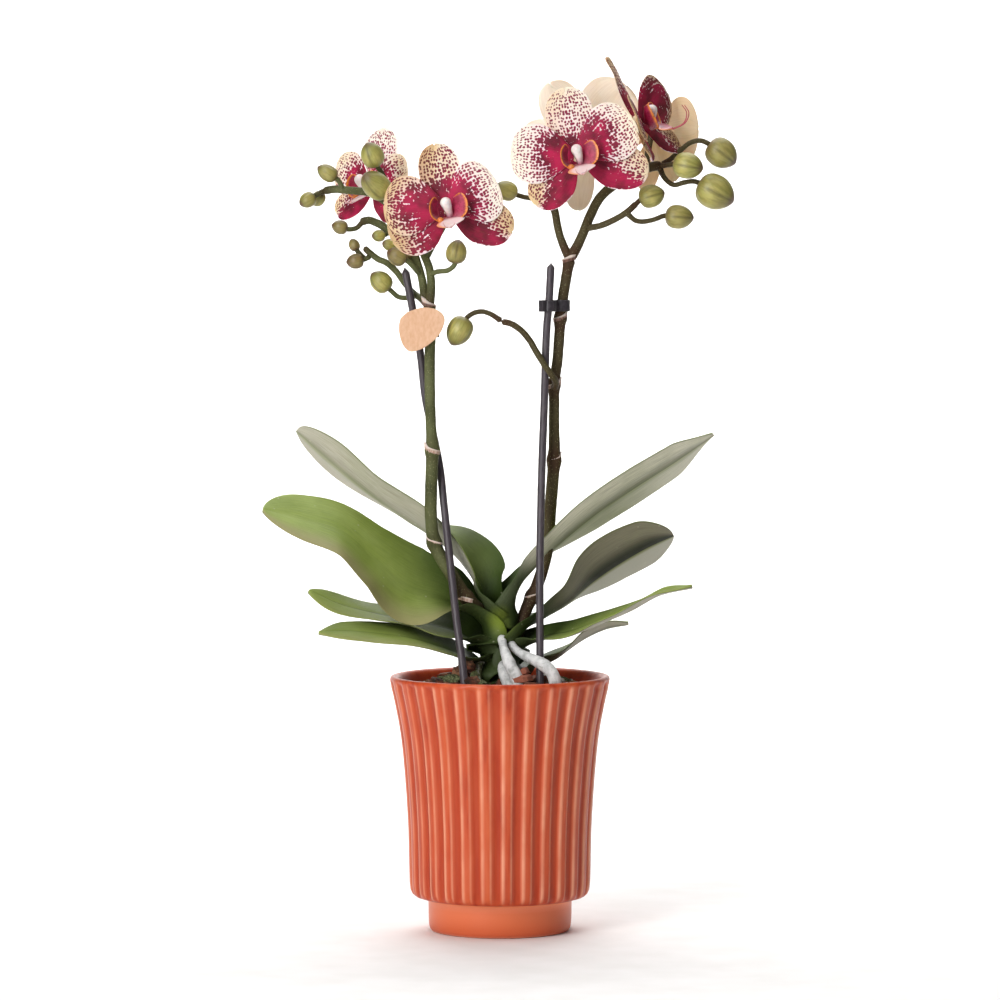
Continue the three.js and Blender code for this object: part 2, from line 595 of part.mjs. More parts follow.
function tepal(frame, [turn, length, width, lean], widest, lift, stations) {
  const { centre, facing, top, right } = frame;
  const angle = THREE.MathUtils.degToRad(turn);
  const along = top.clone().multiplyScalar(Math.cos(angle)).addScaledVector(right, Math.sin(angle));
  const across = right.clone().multiplyScalar(Math.cos(angle)).addScaledVector(top, -Math.sin(angle));
  const slope = Math.tan(THREE.MathUtils.degToRad(lean));
  const upper = [];
  const lower = [];
  for (const t of stations) {
    const half = 0.5 * width * tepalHalf(t, widest);
    const reach = length * t;
    const height = lift + reach * slope - 0.08 * length * t * t;
    const rows = [[], []];
    for (const u of [-1, -0.4, 0.4, 1]) {
      const cup = -0.05 * half * u * u + TEPAL_WAVE * u * Math.sin(7 * t);
      [upper, lower].forEach((face, k) => {
        const point = centre.clone().addScaledVector(along, reach);
        point.addScaledVector(across, half * u);
        point.addScaledVector(facing, height + cup + TEPAL_THICKNESS * (0.5 - k));
        rows[k].push(point);
      });
    }
    upper.push(rows[0]);
    lower.push(rows[1]);
  }
  return slab(upper, lower);
}

function flowerFrame({ centre, facing }) {
  const front = at(facing).normalize();
  const top = UP.clone().addScaledVector(front, -front.z).normalize();
  const right = new THREE.Vector3().crossVectors(top, front);
  return { centre: at(centre), facing: front, top, right };
}

// A point given in a flower's own directions: right, top and front
function inFlower({ centre, facing, top, right }, [x, y, z]) {
  const point = centre.clone().addScaledVector(right, x);
  return point.addScaledVector(top, y).addScaledVector(facing, z);
}

// Three sepals behind two petals, on the end of the stalk
function tepals(flower) {
  const frame = flowerFrame(flower);
  const heart = inFlower(frame, [0, 0, -0.6]);
  return join([
    solid(new THREE.SphereGeometry(3, 6, 4).translate(heart.x, heart.y, heart.z)),
    ...flower.sepals.map((sepal) => tepal(frame, sepal, 0.55, -0.4, [0.04, 0.32, 0.66, 0.9, 0.99])),
    ...flower.petals.map((petal) => tepal(frame, petal, 0.62, 1.5, [0.04, 0.25, 0.5, 0.76, 0.93, 0.99])),
  ]);
}

// The column: a short rod over the lip that ends in its rounded cap
function column(flower) {
  const frame = flowerFrame(flower);
  const foot = inFlower(frame, COLUMN_FOOT);
  const cap = inFlower(frame, COLUMN_CAP);
  const length = foot.distanceTo(cap);
  const rod = new THREE.LatheGeometry([
    new THREE.Vector2(0, 0), new THREE.Vector2(1.4, 0.4), new THREE.Vector2(1.7, 0.45 * length),
    new THREE.Vector2(2.5, 0.72 * length), new THREE.Vector2(1.8, 0.94 * length),
    new THREE.Vector2(0, length),
  ], 6);
  const along = cap.clone().sub(foot).normalize();
  rod.applyQuaternion(new THREE.Quaternion().setFromUnitVectors(new THREE.Vector3(0, 1, 0), along));
  return solid(rod.translate(foot.x, foot.y, foot.z));
}

// The lip: two upright side lobes round the column and a three-pointed middle lobe
function lip(flower) {
  const frame = flowerFrame(flower);
  const sheet = (rows, thickness, offset) => {
    const shift = at(offset).normalize().multiplyScalar(thickness);
    const face = (way) => rows.map((row) => row.map(([x, y, z]) => inFlower(
      frame, [x + way * shift.x, y + way * shift.y, z + way * shift.z],
    )));
    return slab(face(0.5), face(-0.5));
  };
  const sideLobe = (way) => sheet([
    [[way * 1.4, -7.2, 5], [way * 2.6, -7.8, 7.4], [way * 3.2, -8, 9.6]],
    [[way * 3.4, -4, 4.8], [way * 5.8, -4, 7.2], [way * 7, -3.8, 10.4]],
    [[way * 4, 0.4, 5], [way * 6.6, 1.2, 7.2], [way * 7.6, 1.8, 10]],
    [[way * 3.4, 3.4, 6], [way * 5, 4.6, 7.4], [way * 5.4, 5.2, 9]],
  ], 0.9, [way, 0, -0.6]);
  const middle = sheet([
    [[-1.4, -4.8, 3.4], [0, -5, 3.4], [1.4, -4.8, 3.4]],
    [[-2.8, -7, 7.5], [0, -7.4, 7.5], [2.8, -7, 7.5]],
    [[-5.8, -8.4, 11], [0, -8, 11], [5.8, -8.4, 11]],
    [[-0.8, -10.2, 17], [0, -10, 17], [0.8, -10.2, 17]],
  ], 1, [0, 1, 0.35]);
  return join([sideLobe(-1), sideLobe(1), middle]);
}

// The stalk that carries an open flower, from the spike to the back of the flower
function flowerStalk(flower) {
  const frame = flowerFrame(flower);
  const behind = inFlower(frame, [0, -3, -8]).toArray();
  const end = inFlower(frame, [0, -0.6, -4.2]).toArray();
  return [flower.stalkFrom, behind, end];
}

function stalksOf(side) {
  return Object.values(FLOWERS).filter((flower) => flower.spike === side).map(flowerStalk);
}

// Stakes, as bent by the pull of the stems
const STAKES = {
  stake_left: [[-43, -4, 301], [-39.5, -4.5, 282.5], [-36, -5, 262.5], [-33.5, -5, 241],
    [-30.5, -4.8, 227.5], [-27, -5.5, 209.5], [-25.5, -8, 196], [-22.5, -15, 169], [-19.5, -22, 142.5],
    [-16.5, -28.5, 120.5], [-14.5, -33, 95]],
  stake_right: [[23, -5, 303], [22, -5, 284], [21, -5, 272.5], [20, -5.5, 241], [19, -6.5, 214],
    [18.5, -8, 196], [18, -11, 169], [18, -15.5, 133], [18, -20, 95]],
};

function stake(points, grow = 0) {
  return tube(points, STAKE_RADIUS + grow);
}

const CLIPS = {
  clip_right: { stem: [27.7, 2, 283.5], stakePlace: [22, -5, 283.5], height: 5.2, tab: 2 },
  clip_left: { stem: [-31.2, -11, 272], stakePlace: [-37.6, -4.8, 272], height: 5, tab: 1 },
};

// A clip that holds a stem to its stake: two rings in one moulding, with a tab
function clip(stem, stakePlace, height, tab) {
  const round = ([x, y, z], radius, tall = height) => {
    const disc = new THREE.CylinderGeometry(radius, radius, tall, 10).rotateX(Math.PI / 2);
    return solid(disc.translate(x, y, z));
  };
  const outer = 1.3;
  const between = new THREE.Vector2(stakePlace[0] - stem[0], stakePlace[1] - stem[1]);
  const bar = new THREE.BoxGeometry(between.length(), 3, height);
  bar.rotateZ(between.angle()).translate(stem[0] + between.x / 2, stem[1] + between.y / 2, stem[2]);
  const tabEnd = new THREE.BoxGeometry(3.5, 3, height);
  tabEnd.rotateZ(between.angle());
  const reach = between.clone().setLength(between.length() + STAKE_RADIUS + outer + tab);
  tabEnd.translate(stem[0] + reach.x, stem[1] + reach.y, stem[2]);
  const body = join([
    round(stem, SPIKE_HIGH_RADIUS + GAP + outer),
    round(stakePlace, STAKE_RADIUS + GAP + outer),
    solid(bar),
    solid(tabEnd),
  ]);
  return cut(body, [
    round(stem, SPIKE_HIGH_RADIUS + 0.9, height + 2),
    round(stakePlace, STAKE_RADIUS + 0.7, height + 2),
  ]);
}

// The bare tag: a rounded pebble outline cut from thin board
function tag() {
  const outline = new THREE.SplineCurve([
    [-41.5, 281], [-34, 283], [-27.5, 281.5], [-24.8, 278], [-26.8, 271.5], [-31, 267], [-36, 264],
    [-40.5, 263.2], [-43.5, 266], [-45.4, 273], [-44.6, 278], [-41.5, 281],
  ].map(([x, z]) => new THREE.Vector2(x, z)));
  const board = new THREE.ExtrudeGeometry(new THREE.Shape(outline.getPoints(26)), {
    depth: 1, bevelEnabled: false,
  });
  return solid(board.rotateX(Math.PI / 2).translate(0, -15.2, 0));
}

const leftStalks = stalksOf("left");
const rightStalks = stalksOf("right");
const crown = crownStem();
const crownRoom = crownStem(GAP);
const leftSpike = mainBody(cut(spike(LEFT_SPIKE, leftStalks), [crownRoom]));
const rightSpike = mainBody(cut(spike(RIGHT_SPIKE, rightStalks), [crownRoom]));
const spikeRoom = [LEFT_SPIKE, RIGHT_SPIKE].map(({ stems, joints }) => join([
  tube(stems[0][1], SPIKE_LOW_RADIUS + 2 * GAP, 7),
  collar(joints[0][0], joints[0][1] + 2 * GAP, 6),
]));
const rootRoom = ROOTS.map((points) => root(points, GAP));
const stakeRoom = Object.values(STAKES).map((points) => stake(points, GAP));

addPiece("pot", glazedPot(), COLOURS.glaze, 0.3);
addPiece("grow_pot", innerPot(), COLOURS.clearPlastic, 0.2);
const filling = cut(barkFilling(), [innerPotRim(GAP), crownRoom, ...rootRoom, ...stakeRoom]);
addPiece("bark", mainBody(filling), COLOURS.bark, 0.9);
addPiece("crown", crown, COLOURS.crown, 0.5);
ROOTS.forEach((points, i) => {
  const before = rootRoom.slice(0, i);
  const colour = i === ROOTS.length - 1 ? COLOURS.greenRoot : COLOURS.root;
  addPiece(`aerial_root_${i + 1}`, mainBody(cut(root(points), [crownRoom, ...before])), colour, 0.8);
});

const leafRoom = [];
for (const [name, spec] of Object.entries(LEAVES)) {
  const shape = cut(leaf(spec), [crownRoom, ...spikeRoom, ...rootRoom, ...leafRoom]);
  addPiece(name, mainBody(shape), spec.colour, 0.45);
  leafRoom.push(leaf(spec, GAP));
}

addPiece("spike_left", leftSpike, COLOURS.stem, 0.55);
addPiece("spike_right", rightSpike, COLOURS.stem, 0.55);
for (const [name, points] of Object.entries(STAKES)) {
  addPiece(name, stake(points), COLOURS.stake, 0.4);
}
for (const [name, { stem, stakePlace, height, tab }] of Object.entries(CLIPS)) {
  addPiece(name, clip(stem, stakePlace, height, tab), COLOURS.stake, 0.4);
}
addPiece("tag", tag(), COLOURS.tag, 0.7);

for (const [name, flower] of Object.entries(FLOWERS)) {
  addPiece(name, tepals(flower), COLOURS.petal, 0.6);
  addPiece(`${name}_column`, column(flower), COLOURS.column, 0.5);
  addPiece(`${name}_lip`, lip(flower), COLOURS.lip, 0.5);
}

export default plant;
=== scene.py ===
"""A potted moth orchid: the finished look of the plant, its pot and the soft studio round it."""

import functools
import json
import math
import random

import bmesh
import bpy
from bpy.props import FloatProperty, FloatVectorProperty, IntProperty, PointerProperty
from mathutils import Matrix, Vector, noise

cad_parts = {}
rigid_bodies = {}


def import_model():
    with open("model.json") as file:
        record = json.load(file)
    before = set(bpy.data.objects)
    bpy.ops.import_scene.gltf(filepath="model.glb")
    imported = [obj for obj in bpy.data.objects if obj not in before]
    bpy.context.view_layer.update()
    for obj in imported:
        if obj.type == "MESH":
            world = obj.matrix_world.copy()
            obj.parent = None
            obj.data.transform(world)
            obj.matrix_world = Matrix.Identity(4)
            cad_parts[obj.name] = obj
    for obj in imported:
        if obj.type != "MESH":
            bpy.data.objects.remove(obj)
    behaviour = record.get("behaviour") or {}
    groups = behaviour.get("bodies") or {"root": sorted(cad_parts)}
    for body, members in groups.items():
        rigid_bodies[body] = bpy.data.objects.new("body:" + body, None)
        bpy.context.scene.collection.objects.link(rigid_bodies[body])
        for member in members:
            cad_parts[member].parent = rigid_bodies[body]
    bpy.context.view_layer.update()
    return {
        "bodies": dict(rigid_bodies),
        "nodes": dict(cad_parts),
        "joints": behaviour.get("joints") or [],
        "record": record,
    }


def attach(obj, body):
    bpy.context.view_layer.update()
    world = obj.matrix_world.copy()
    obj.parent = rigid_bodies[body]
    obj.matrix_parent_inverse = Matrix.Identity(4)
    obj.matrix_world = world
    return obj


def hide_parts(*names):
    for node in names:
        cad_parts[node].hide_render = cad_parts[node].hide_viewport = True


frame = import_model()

bl_info = {
    "name": "Potted moth orchid",
    "version": (1, 0, 0),
    "blender": (4, 5, 0),
    "location": "View3D > Sidebar > Orchid",
    "description": "Models a moth orchid in a fluted glazed pot, piece by piece",
    "category": "Object",
}

MM = 0.001
UP = Vector((0, 0, 1))


def linear(hex_colour):
    """An sRGB hex colour as the linear RGBA that shader sockets hold"""
    channels = [int(hex_colour[i:i + 2], 16) / 255 for i in (1, 3, 5)]
    return tuple(c / 12.92 if c < 0.04045 else ((c + 0.055) / 1.055) ** 2.4 for c in channels) + (1,)


# Shapes of the plant, in millimetres: stems, roots and leaf ribs are given point by point

ROOTS = {
    "aerial_root_1": [[0.6, -8, 134.5], [1.6, -14, 130], [3, -19, 126], [5.6, -23, 120.5],
                      [8.4, -25, 114.5], [9.4, -26, 104]],
    "aerial_root_2": [[4, -6.5, 132.5], [6.8, -10.5, 128.8], [10.5, -15, 126.6], [15.5, -20.3, 124.6],
                      [19.8, -24.5, 122.6], [23.2, -26.8, 119.4], [25, -27.6, 114], [24.6, -27, 104]],
    "aerial_root_3": [[1.6, -8, 122], [1, -14, 121], [2.2, -18.5, 117.5], [5, -21.5, 111], [7, -23, 102]],
    "aerial_root_4": [[-7, -3, 124], [-10, -9, 121], [-11, -14, 116], [-11, -17, 108], [-10, -18, 102]],
}

# Each leaf has its rib from root to tip, and at its points after the first the half width, the
# roll in degrees (front edge down is plus) and the fold of each half over the rib. The tone is
# the colour of its underside (0.5 green, 0.7 pale, 1 a darker grey-brown, partly painted shade),
# how dark the painted shade in the crease beside its rib is, and how strong the painted sheen on
# its front edge is. Its base clasps the crown: the radius there, the heights where that begins and
# ends, and its fold. The slot is grey where the underside faces the viewer.
LEAVES = {
    "leaf_left_top": {
        "slot": "leaf_grey",
        "rib": [[-2, 0, 142], [-9.5, 3, 157], [-23, 8, 173], [-42, 14, 186], [-60, 21, 198.5],
                [-77, 27, 212], [-93, 34, 226]],
        "half": [15, 16.5, 16, 15.5, 15.5, 12],
        "roll": [26, 2, -29, -33, -42, -48],
        "fold": [46, 32, 16, 10, 8, 4],
        "tone": (0.84, 0.2, 0.0),
        "clasp": (6.4, 135, 150, 58),
    },
    "leaf_right_top": {
        "slot": "leaf_grey",
        "rib": [[2, 0, 141], [15.5, 3, 165], [26.5, 6, 175.5], [44, 10, 189.5], [61.5, 15, 201],
                [80, 21, 212.5], [97.5, 26, 224.5]],
        "half": [9.5, 13, 15.5, 15.5, 13.5, 6.5],
        "roll": [-22, -32, -38, -40, -42, -28],
        "fold": [30, 10, 3, 2, 2, 2],
        "tone": (0.7, 0.5, 0.0),
        "clasp": (6.9, 136, 154, 58),
    },
    "leaf_left_large": {
        "slot": "leaf_green",
        "rib": [[-3, -1, 135], [-24, -3, 150.5], [-41, -8, 156.3], [-57, -13, 169.2], [-72, -18, 182],
                [-89.5, -24, 188], [-106, -30, 192.5]],
        "half": [17, 21.5, 22, 22, 18, 12],
        "roll": [46, 56, 42, 34, 34, 35],
        "fold": [20, 6, 5, 4, 4, 4],
        "tone": (0.5, 0.0, 1.0),
        "clasp": (7.6, 124, 139, 55),
    },
    "leaf_right_middle": {
        "slot": "leaf_grey",
        "rib": [[3, 2, 132], [18.5, 8, 141], [30, 11, 148], [41.5, 14, 157.5], [54, 15, 166],
                [67, 15.5, 173.5], [79, 16, 179]],
        "half": [10, 14, 18.5, 19, 18, 15.5],
        "roll": [-16, -26, -36, -40, -40, -30],
        "fold": [24, 12, 11, 11, 8, 4],
        "tone": (1.0, 1.0, 0.0),
        "clasp": (8.1, 120, 135, 55),
    },
    "leaf_left_low": {
        "slot": "leaf_green",
        "rib": [[-3, 0, 124], [-17, -2, 134], [-31, -4, 138.5], [-45, -6, 141.5], [-59, -7, 144.5],
                [-73, -8.5, 148.5], [-86.5, -10, 155]],
        "half": [15, 16, 16, 15, 11.5, 6],
        "roll": [30, 22, 11, 12, 20, 30],
        "fold": [25, 12, 8, 5, 4, 4],
        "tone": (0.55, 0.2, 0.3),
        "clasp": (8.7, 111, 127, 55),
    },
    "leaf_right_low": {
        "slot": "leaf_green",
        "rib": [[3, 0, 124], [17.5, -1.5, 132.5], [32, -9, 136], [45.5, -14, 141.5], [59, -19, 147.5],
                [72, -25, 155], [86, -30, 158.5]],
        "half": [10, 12.5, 13, 12, 9, 5],
        "roll": [15, 16, 11, 9, 8, 6],
        "fold": [16, 9, 8, 8, 8, 4],
        "tone": (0.9, 0.3, 0.25),
        "clasp": (8.9, 111, 127, 50),
    },
    "leaf_left_bottom": {
        "slot": "leaf_green",
        "rib": [[-3, -1, 116], [-17.5, -10, 125], [-30, -17, 130.5], [-42.5, -23, 134.5],
                [-55.5, -28, 136.5], [-68.5, -32, 138], [-81, -36, 138]],
        "half": [11, 13, 14.5, 14, 11, 4.5],
        "roll": [20, 18, 17, 18, 18, 18],
        "fold": [18, 9, 6, 5, 4, 3],
        "tone": (0.55, 0.1, 0.5),
        "clasp": (9.4, 104, 119, 50),
    },
    "leaf_right_bottom": {
        "slot": "leaf_grey",
        "rib": [[3, 1, 115], [14.5, 11, 119], [23.5, 18, 121.5], [31.5, 24, 126.5], [39.5, 28, 131.5],
                [49, 32, 135.5], [59, 36, 137]],
        "half": [9, 10, 10.5, 9.5, 8, 5],
        "roll": [-14, -12, -16, -20, -20, -15],
        "fold": [20, 15, 10, 8, 6, 4],
        "tone": (0.9, 0.6, 0.0),
        "clasp": (9.5, 102, 117, 50),
    },
}

# A spike's brown is how brown its skin is all over. Each of its stems is its radius and its
# points, and the first three continue each other; a joint is its place, the stem's radius and how
# brown its dry scale is; a bud is its stalk, ending at the bud's middle, length and width.
SPIKES = {
    "spike_left": {
        "brown": 0.0,
        "brown_buds": (5, 6, 7, 9, 10),
        "stems": [
            (2.95, [[-3, 4, 138], [-7, 2, 144], [-12, -6, 148.5], [-16.5, -10, 154], [-21.5, -10.5, 162],
                    [-27, -11, 171], [-29.5, -11, 176.5]]),
            (2.8, [[-29.5, -11, 176], [-31, -11, 187], [-31, -11, 203], [-30.5, -11, 219]]),
            (2.4, [[-30.5, -11, 218], [-31, -11, 228], [-31.5, -11, 242], [-31.5, -11, 264],
                   [-31, -11, 275], [-32, -10, 285]]),
            (1.8, [[-32, -10, 283], [-34, -8, 288.5], [-35, -6, 295], [-37, -3, 302], [-39.5, 0, 308.5],
                   [-44.5, 3, 314], [-49.5, 5, 317], [-55, 6, 320.5], [-59.5, 6, 322], [-63.5, 6, 321]]),
            (1.8, [[-32, -10, 283], [-31, -10, 290.5], [-31.5, -8, 299], [-34.5, -3, 307],
                   [-40, 1, 316.5], [-45, 3, 324.5], [-50, 3, 329], [-54.5, 2, 332.5], [-59, 2, 334.5],
                   [-68, 2, 335.5], [-75.5, 3, 336], [-80, 3, 335]]),
            (1.45, [[-33.5, -8.5, 285], [-36, -2, 287], [-39.5, 2.5, 289.5], [-43, 3.5, 293.5],
                    [-47, 3, 299], [-51.5, 2, 303], [-55, 2, 304.5], [-59, 1.5, 307.5], [-61.5, 1, 310]]),
        ],
        "joints": [([-15.5, -9.5, 151.5], 2.8, 0.0), ([-29.5, -11, 177], 2.8, 0.0),
                   ([-30.5, -11, 218.5], 2.8, 0.2), ([-32, -10, 284], 2.4, 0.9)],
        "buds": [
            ([[-49, 3, 328.5], [-49.5, 0, 333], [-52, -4, 341], [-55, -8, 346], [-57.5, -10.5, 351.5]],
             12, 10.5),
            ([[-46, 3, 325.5], [-46.5, -2, 329], [-49.5, -7, 332.5], [-56, -13, 338]], 16, 12),
            ([[-71, 2, 335.5], [-72, 1, 338.5], [-74, 0, 341], [-78, 0, 343.5]], 10, 7.5),
            ([[-79, 3, 335.5], [-82, 2, 334], [-84.5, 1, 332.5], [-87, 0, 331]], 8, 7),
            ([[-79, 3, 335.5], [-80.5, 5, 334.5], [-81.5, 7, 333], [-82.5, 8.5, 331.5]], 8, 6.5),
            ([[-62, 6, 321.5], [-65, 5, 318.5], [-68.5, 4, 318], [-72.5, 4, 319]], 7.5, 6.5),
            ([[-58, 2, 306], [-61, 1, 304.5], [-63, 0.5, 303.8], [-65.5, 0, 303.5]], 8, 7),
            ([[-61, 1, 304.5], [-63.5, 2.5, 307], [-65, 3, 309], [-66, 3.5, 311]], 6, 5),
            ([[-38, 1.5, 288], [-42, 3, 287], [-46, 3, 287.5], [-49, 2, 290], [-54, 1, 294.5]], 11, 9.5),
            ([[-35.5, -5, 297], [-38.5, -7.5, 300.5], [-41.5, -9, 303.5], [-46.5, -10, 306]], 9.5, 8.5),
            ([[-37, -3, 301], [-39.5, -2, 303], [-41, -1, 305], [-42, -1, 308]], 7, 5.5),
            ([[-31.5, -8.5, 297.5], [-28, -11, 299], [-23.5, -13, 299.5], [-20.5, -14, 302],
              [-19.5, -14, 308]], 11, 9.5),
            ([[-49.5, 5, 317], [-52, 3, 315.5], [-53.5, 2, 315], [-55, 1, 315]], 6.5, 5.5),
            ([[-43.5, 2.5, 313.5], [-46, 0, 311], [-48, -1, 310.5], [-50, -2, 311]], 7, 5.5),
        ],
    },
    "spike_right": {
        "brown": 0.66,
        "brown_buds": (),
        "stems": [
            (2.8, [[2, 2, 122], [7, 4, 132], [9.5, 5.5, 139], [12.5, 6, 147], [16.5, 6, 155.5],
                   [19.5, 5.5, 164.5], [21.5, 5, 173.5], [22.8, 4, 191], [24.5, 3, 214]]),
            (2.4, [[24.5, 3, 213], [24.5, 2.5, 228], [24.5, 2, 241], [24.5, 2, 248]]),
            (2.4, [[24.5, 2, 247], [26, 2, 259], [26.8, 2, 270], [27.5, 2, 280.5], [29, 2, 290.5],
                   [31.5, 2, 305.5]]),
            (1.8, [[31.5, 2, 304.5], [28.5, 2, 311], [26.5, 2, 317], [25, 2, 325], [23.5, 1.5, 331],
                   [24.5, 1, 338], [28, 0.5, 345], [32, 0, 350]]),
            (2.2, [[31.5, 2, 304.5], [35, 3, 310.5], [37.5, 4, 316], [41, 6, 324.5], [45.5, 8, 332.5],
                   [52.5, 10, 338.5], [60.5, 10, 343], [68, 9, 346], [73.5, 8, 347]]),
            (1.45, [[24.5, 1, 246], [25.2, -4, 249], [23.6, -8.8, 252], [20, -9.5, 257], [16, -9, 263.5],
                    [13, -8.5, 268.5], [9.5, -8, 272.5], [5, -8, 275.5], [0.5, -8, 276.5]]),
            (1.45, [[38.5, 5, 318.5], [45, 2, 319.5], [52, 0, 322.5], [57, -1, 325.5], [62, -1, 330]]),
        ],
        "joints": [([14.5, 6, 151.5], 2.6, 0.1), ([24.5, 3, 213.5], 2.4, 0.6),
                   ([24.5, 2, 247.5], 2.4, 0.5), ([27.2, 2, 277.8], 2.4, 0.9),
                   ([31.3, 2, 304.5], 2.4, 1.0)],
        "buds": [
            ([[1, -8, 276.5], [-4.5, -8, 280], [-8.5, -8, 281], [-12.5, -8, 280], [-15.5, -8, 277.5],
              [-18.5, -8, 272]], 14, 11.5),
            ([[61, -1, 329], [63, -1.5, 331], [65, -2, 332], [68.5, -2, 333]], 12, 10.5),
            ([[57, -1, 325.5], [61, -1, 322], [65.5, -1, 321.5], [70, -1, 322.5], [74, -1, 324],
              [81, -1, 323.5]], 13, 11),
            ([[73, 8, 347], [77, 8, 349.5], [81.5, 7, 353.5], [86, 7, 357], [90.5, 7, 358],
              [94.5, 7, 356.5], [100.5, 7, 352]], 15, 13.5),
            ([[72.5, 8, 346.5], [76, 4, 347], [80, 1, 347.5], [85, -1, 346.5]], 14, 12),
            ([[72, 8, 346.5], [74.5, 6, 341], [78.5, 5, 338], [83, 4, 339], [88, 3, 339.5],
              [97.5, 2, 334.5]], 18, 16),
            ([[23.5, 1.5, 331.5], [18, 3, 331.5], [13.5, 3, 332], [9, 1, 333], [2.5, -2, 335.5]], 11, 9),
        ],
    },
}

# Open flowers. A tepal is [turn from the top in degrees, length, width, lean towards the front,
# blotch, side, warmth]: how far its blotch reaches, on which half, and how tan its ground is.
FLOWERS = {
    "flower_left_front": {
        "centre": [-23.5, -20, 327.5], "facing": [-0.05, -1, 0.02], "spike": "spike_left",
        "stalk_from": [-33.5, -4.5, 305],
        "petals": [[-87, 28.5, 27, 4, 0.68, 0.2, 0.6], [62, 25, 29, 4, 0.52, 0.1, 0.0]],
        "sepals": [[-12, 29.5, 19, 0, 0.4, 0, 1.0], [-121, 29, 25, 3, 0.62, -0.4, 0.7],
                   [110, 31, 21, 2, 0.72, 1, 0.6]],
    },
    "flower_left_back": {
        "centre": [-57.5, 22, 337.5], "facing": [-0.72, -0.68, 0.1], "spike": "spike_left",
        "stalk_from": [-40, 1, 316.5],
        "petals": [[-68, 25, 20, 8, 0.5, 0, 0.3], [62, 22, 17, -4, 0.5, 0, 0.3]],
        "sepals": [[3, 27, 22, 0, 0.35, 0.3, 0.1], [-115, 28, 15, 4, 0.8, -0.8, 0.4],
                   [138, 20, 14, 0, 0.8, 0.8, 0.4]],
    },
    "flower_right_front": {
        "centre": [34.5, -14, 351], "facing": [0, -1, 0.04], "spike": "spike_right",
        "stalk_from": [28, 0.5, 345],
        "petals": [[-88, 30, 27, 4, 0.48, 0, 0.05], [56, 30, 27, 4, 0.52, 0.2, 0.0]],
        "sepals": [[-10, 31, 22, 0, 0.28, 0, 0.3], [-140, 29, 20, 3, 0.75, -1, 0.5],
                   [104, 33, 21, 2, 0.62, 1, 0.3]],
    },
    "flower_right_back": {
        "centre": [36.5, 13, 357.5], "facing": [-0.1, 1, 0.1], "spike": "spike_right",
        "stalk_from": [30, 0.3, 347.5],
        "petals": [[-38, 33, 28, 2, 0.5, 0, 0.1], [95, 28, 24, 2, 0.5, 0, 0.1]],
        "sepals": [[29, 31, 20, 0, 0.3, 0, 0.3], [-108, 26, 18, 0, 0.8, -1, 0.3],
                   [178, 31, 14, 0, 0.8, 1, 0.3]],
    },
    "flower_right_side": {
        "centre": [61.5, 0, 366.5], "facing": [0.9, -0.25, 0.36], "spike": "spike_right",
        "stalk_from": [58, 10.2, 341.5],
        "petals": [[-92, 24, 23, 15, 0.7, 0, 0.8], [66, 25, 26, 28, 0.95, 0, 0.8]],
        "sepals": [[-2, 32, 16, 2, 0.5, 0, 1.0], [-142, 24, 16, 14, 0.8, -1, 0.8],
                   [134, 24, 17, 30, 0.6, 1, 1.0]],
    },
    "flower_right_far": {
        "centre": [71, 30, 363], "facing": [0.3, 0.95, 0.05], "spike": "spike_right",
        "stalk_from": [66, 9.5, 345.5],
        "petals": [[-88, 20, 30, 4, 0.5, 0, 0.6], [78, 20, 22, 4, 0.5, 0, 0.8]],
        "sepals": [[0, 23, 13, 0, 0.3, 0, 0.6], [-158, 25, 12, 0, 0.8, -1, 0.7],
                   [170, 28, 12, 0, 0.8, 1, 0.7]],
    },
}

STAKES = {
    "stake_left": [[-43, -4, 301], [-39.5, -4.5, 282.5], [-36, -5, 262.5], [-33.5, -5, 241],
                   [-30.5, -4.8, 227.5], [-27, -5.5, 209.5], [-25.5, -8, 196], [-22.5, -15, 169],
                   [-19.5, -22, 142.5], [-16.5, -28.5, 120.5], [-14.5, -33, 95]],
    "stake_right": [[23, -5, 303], [22, -5, 284], [21, -5, 272.5], [20, -5.5, 241], [19, -6.5, 214],
                    [18.5, -8, 196], [18, -11, 169], [18, -15.5, 133], [18, -20, 95]],
}

STAKE_RADIUS = 1.75

# Each clip is the stem's middle, the rod's middle, its height and how far its tab stands out
CLIPS = {
    "clip_right": ([27.7, 2, 283.5], [22, -5, 283.5], 5.2, 2),
    "clip_left": ([-31.2, -11, 272], [-37.6, -4.8, 272], 5, 1),
}

# The tag's outline as [across, height]
TAG_OUTLINE = [[-41.5, 281], [-34, 283], [-27.5, 281.5], [-24.8, 278], [-26.8, 271.5], [-31, 267],
               [-36, 264], [-40.5, 263.2], [-43.5, 266], [-45.4, 273], [-44.6, 278]]

# The column in a flower's own directions, right, top and front: it leans a little to the left
COLUMN = [[1.6, -4.5, 4.6], [0.9, -1.6, 6.6], [-0.2, 1.8, 8.4], [-0.9, 4.4, 9.5]]
COLUMN_RADII = [1.5, 1.5, 1.7, 2.1, 2.45, 2.45, 2.2]

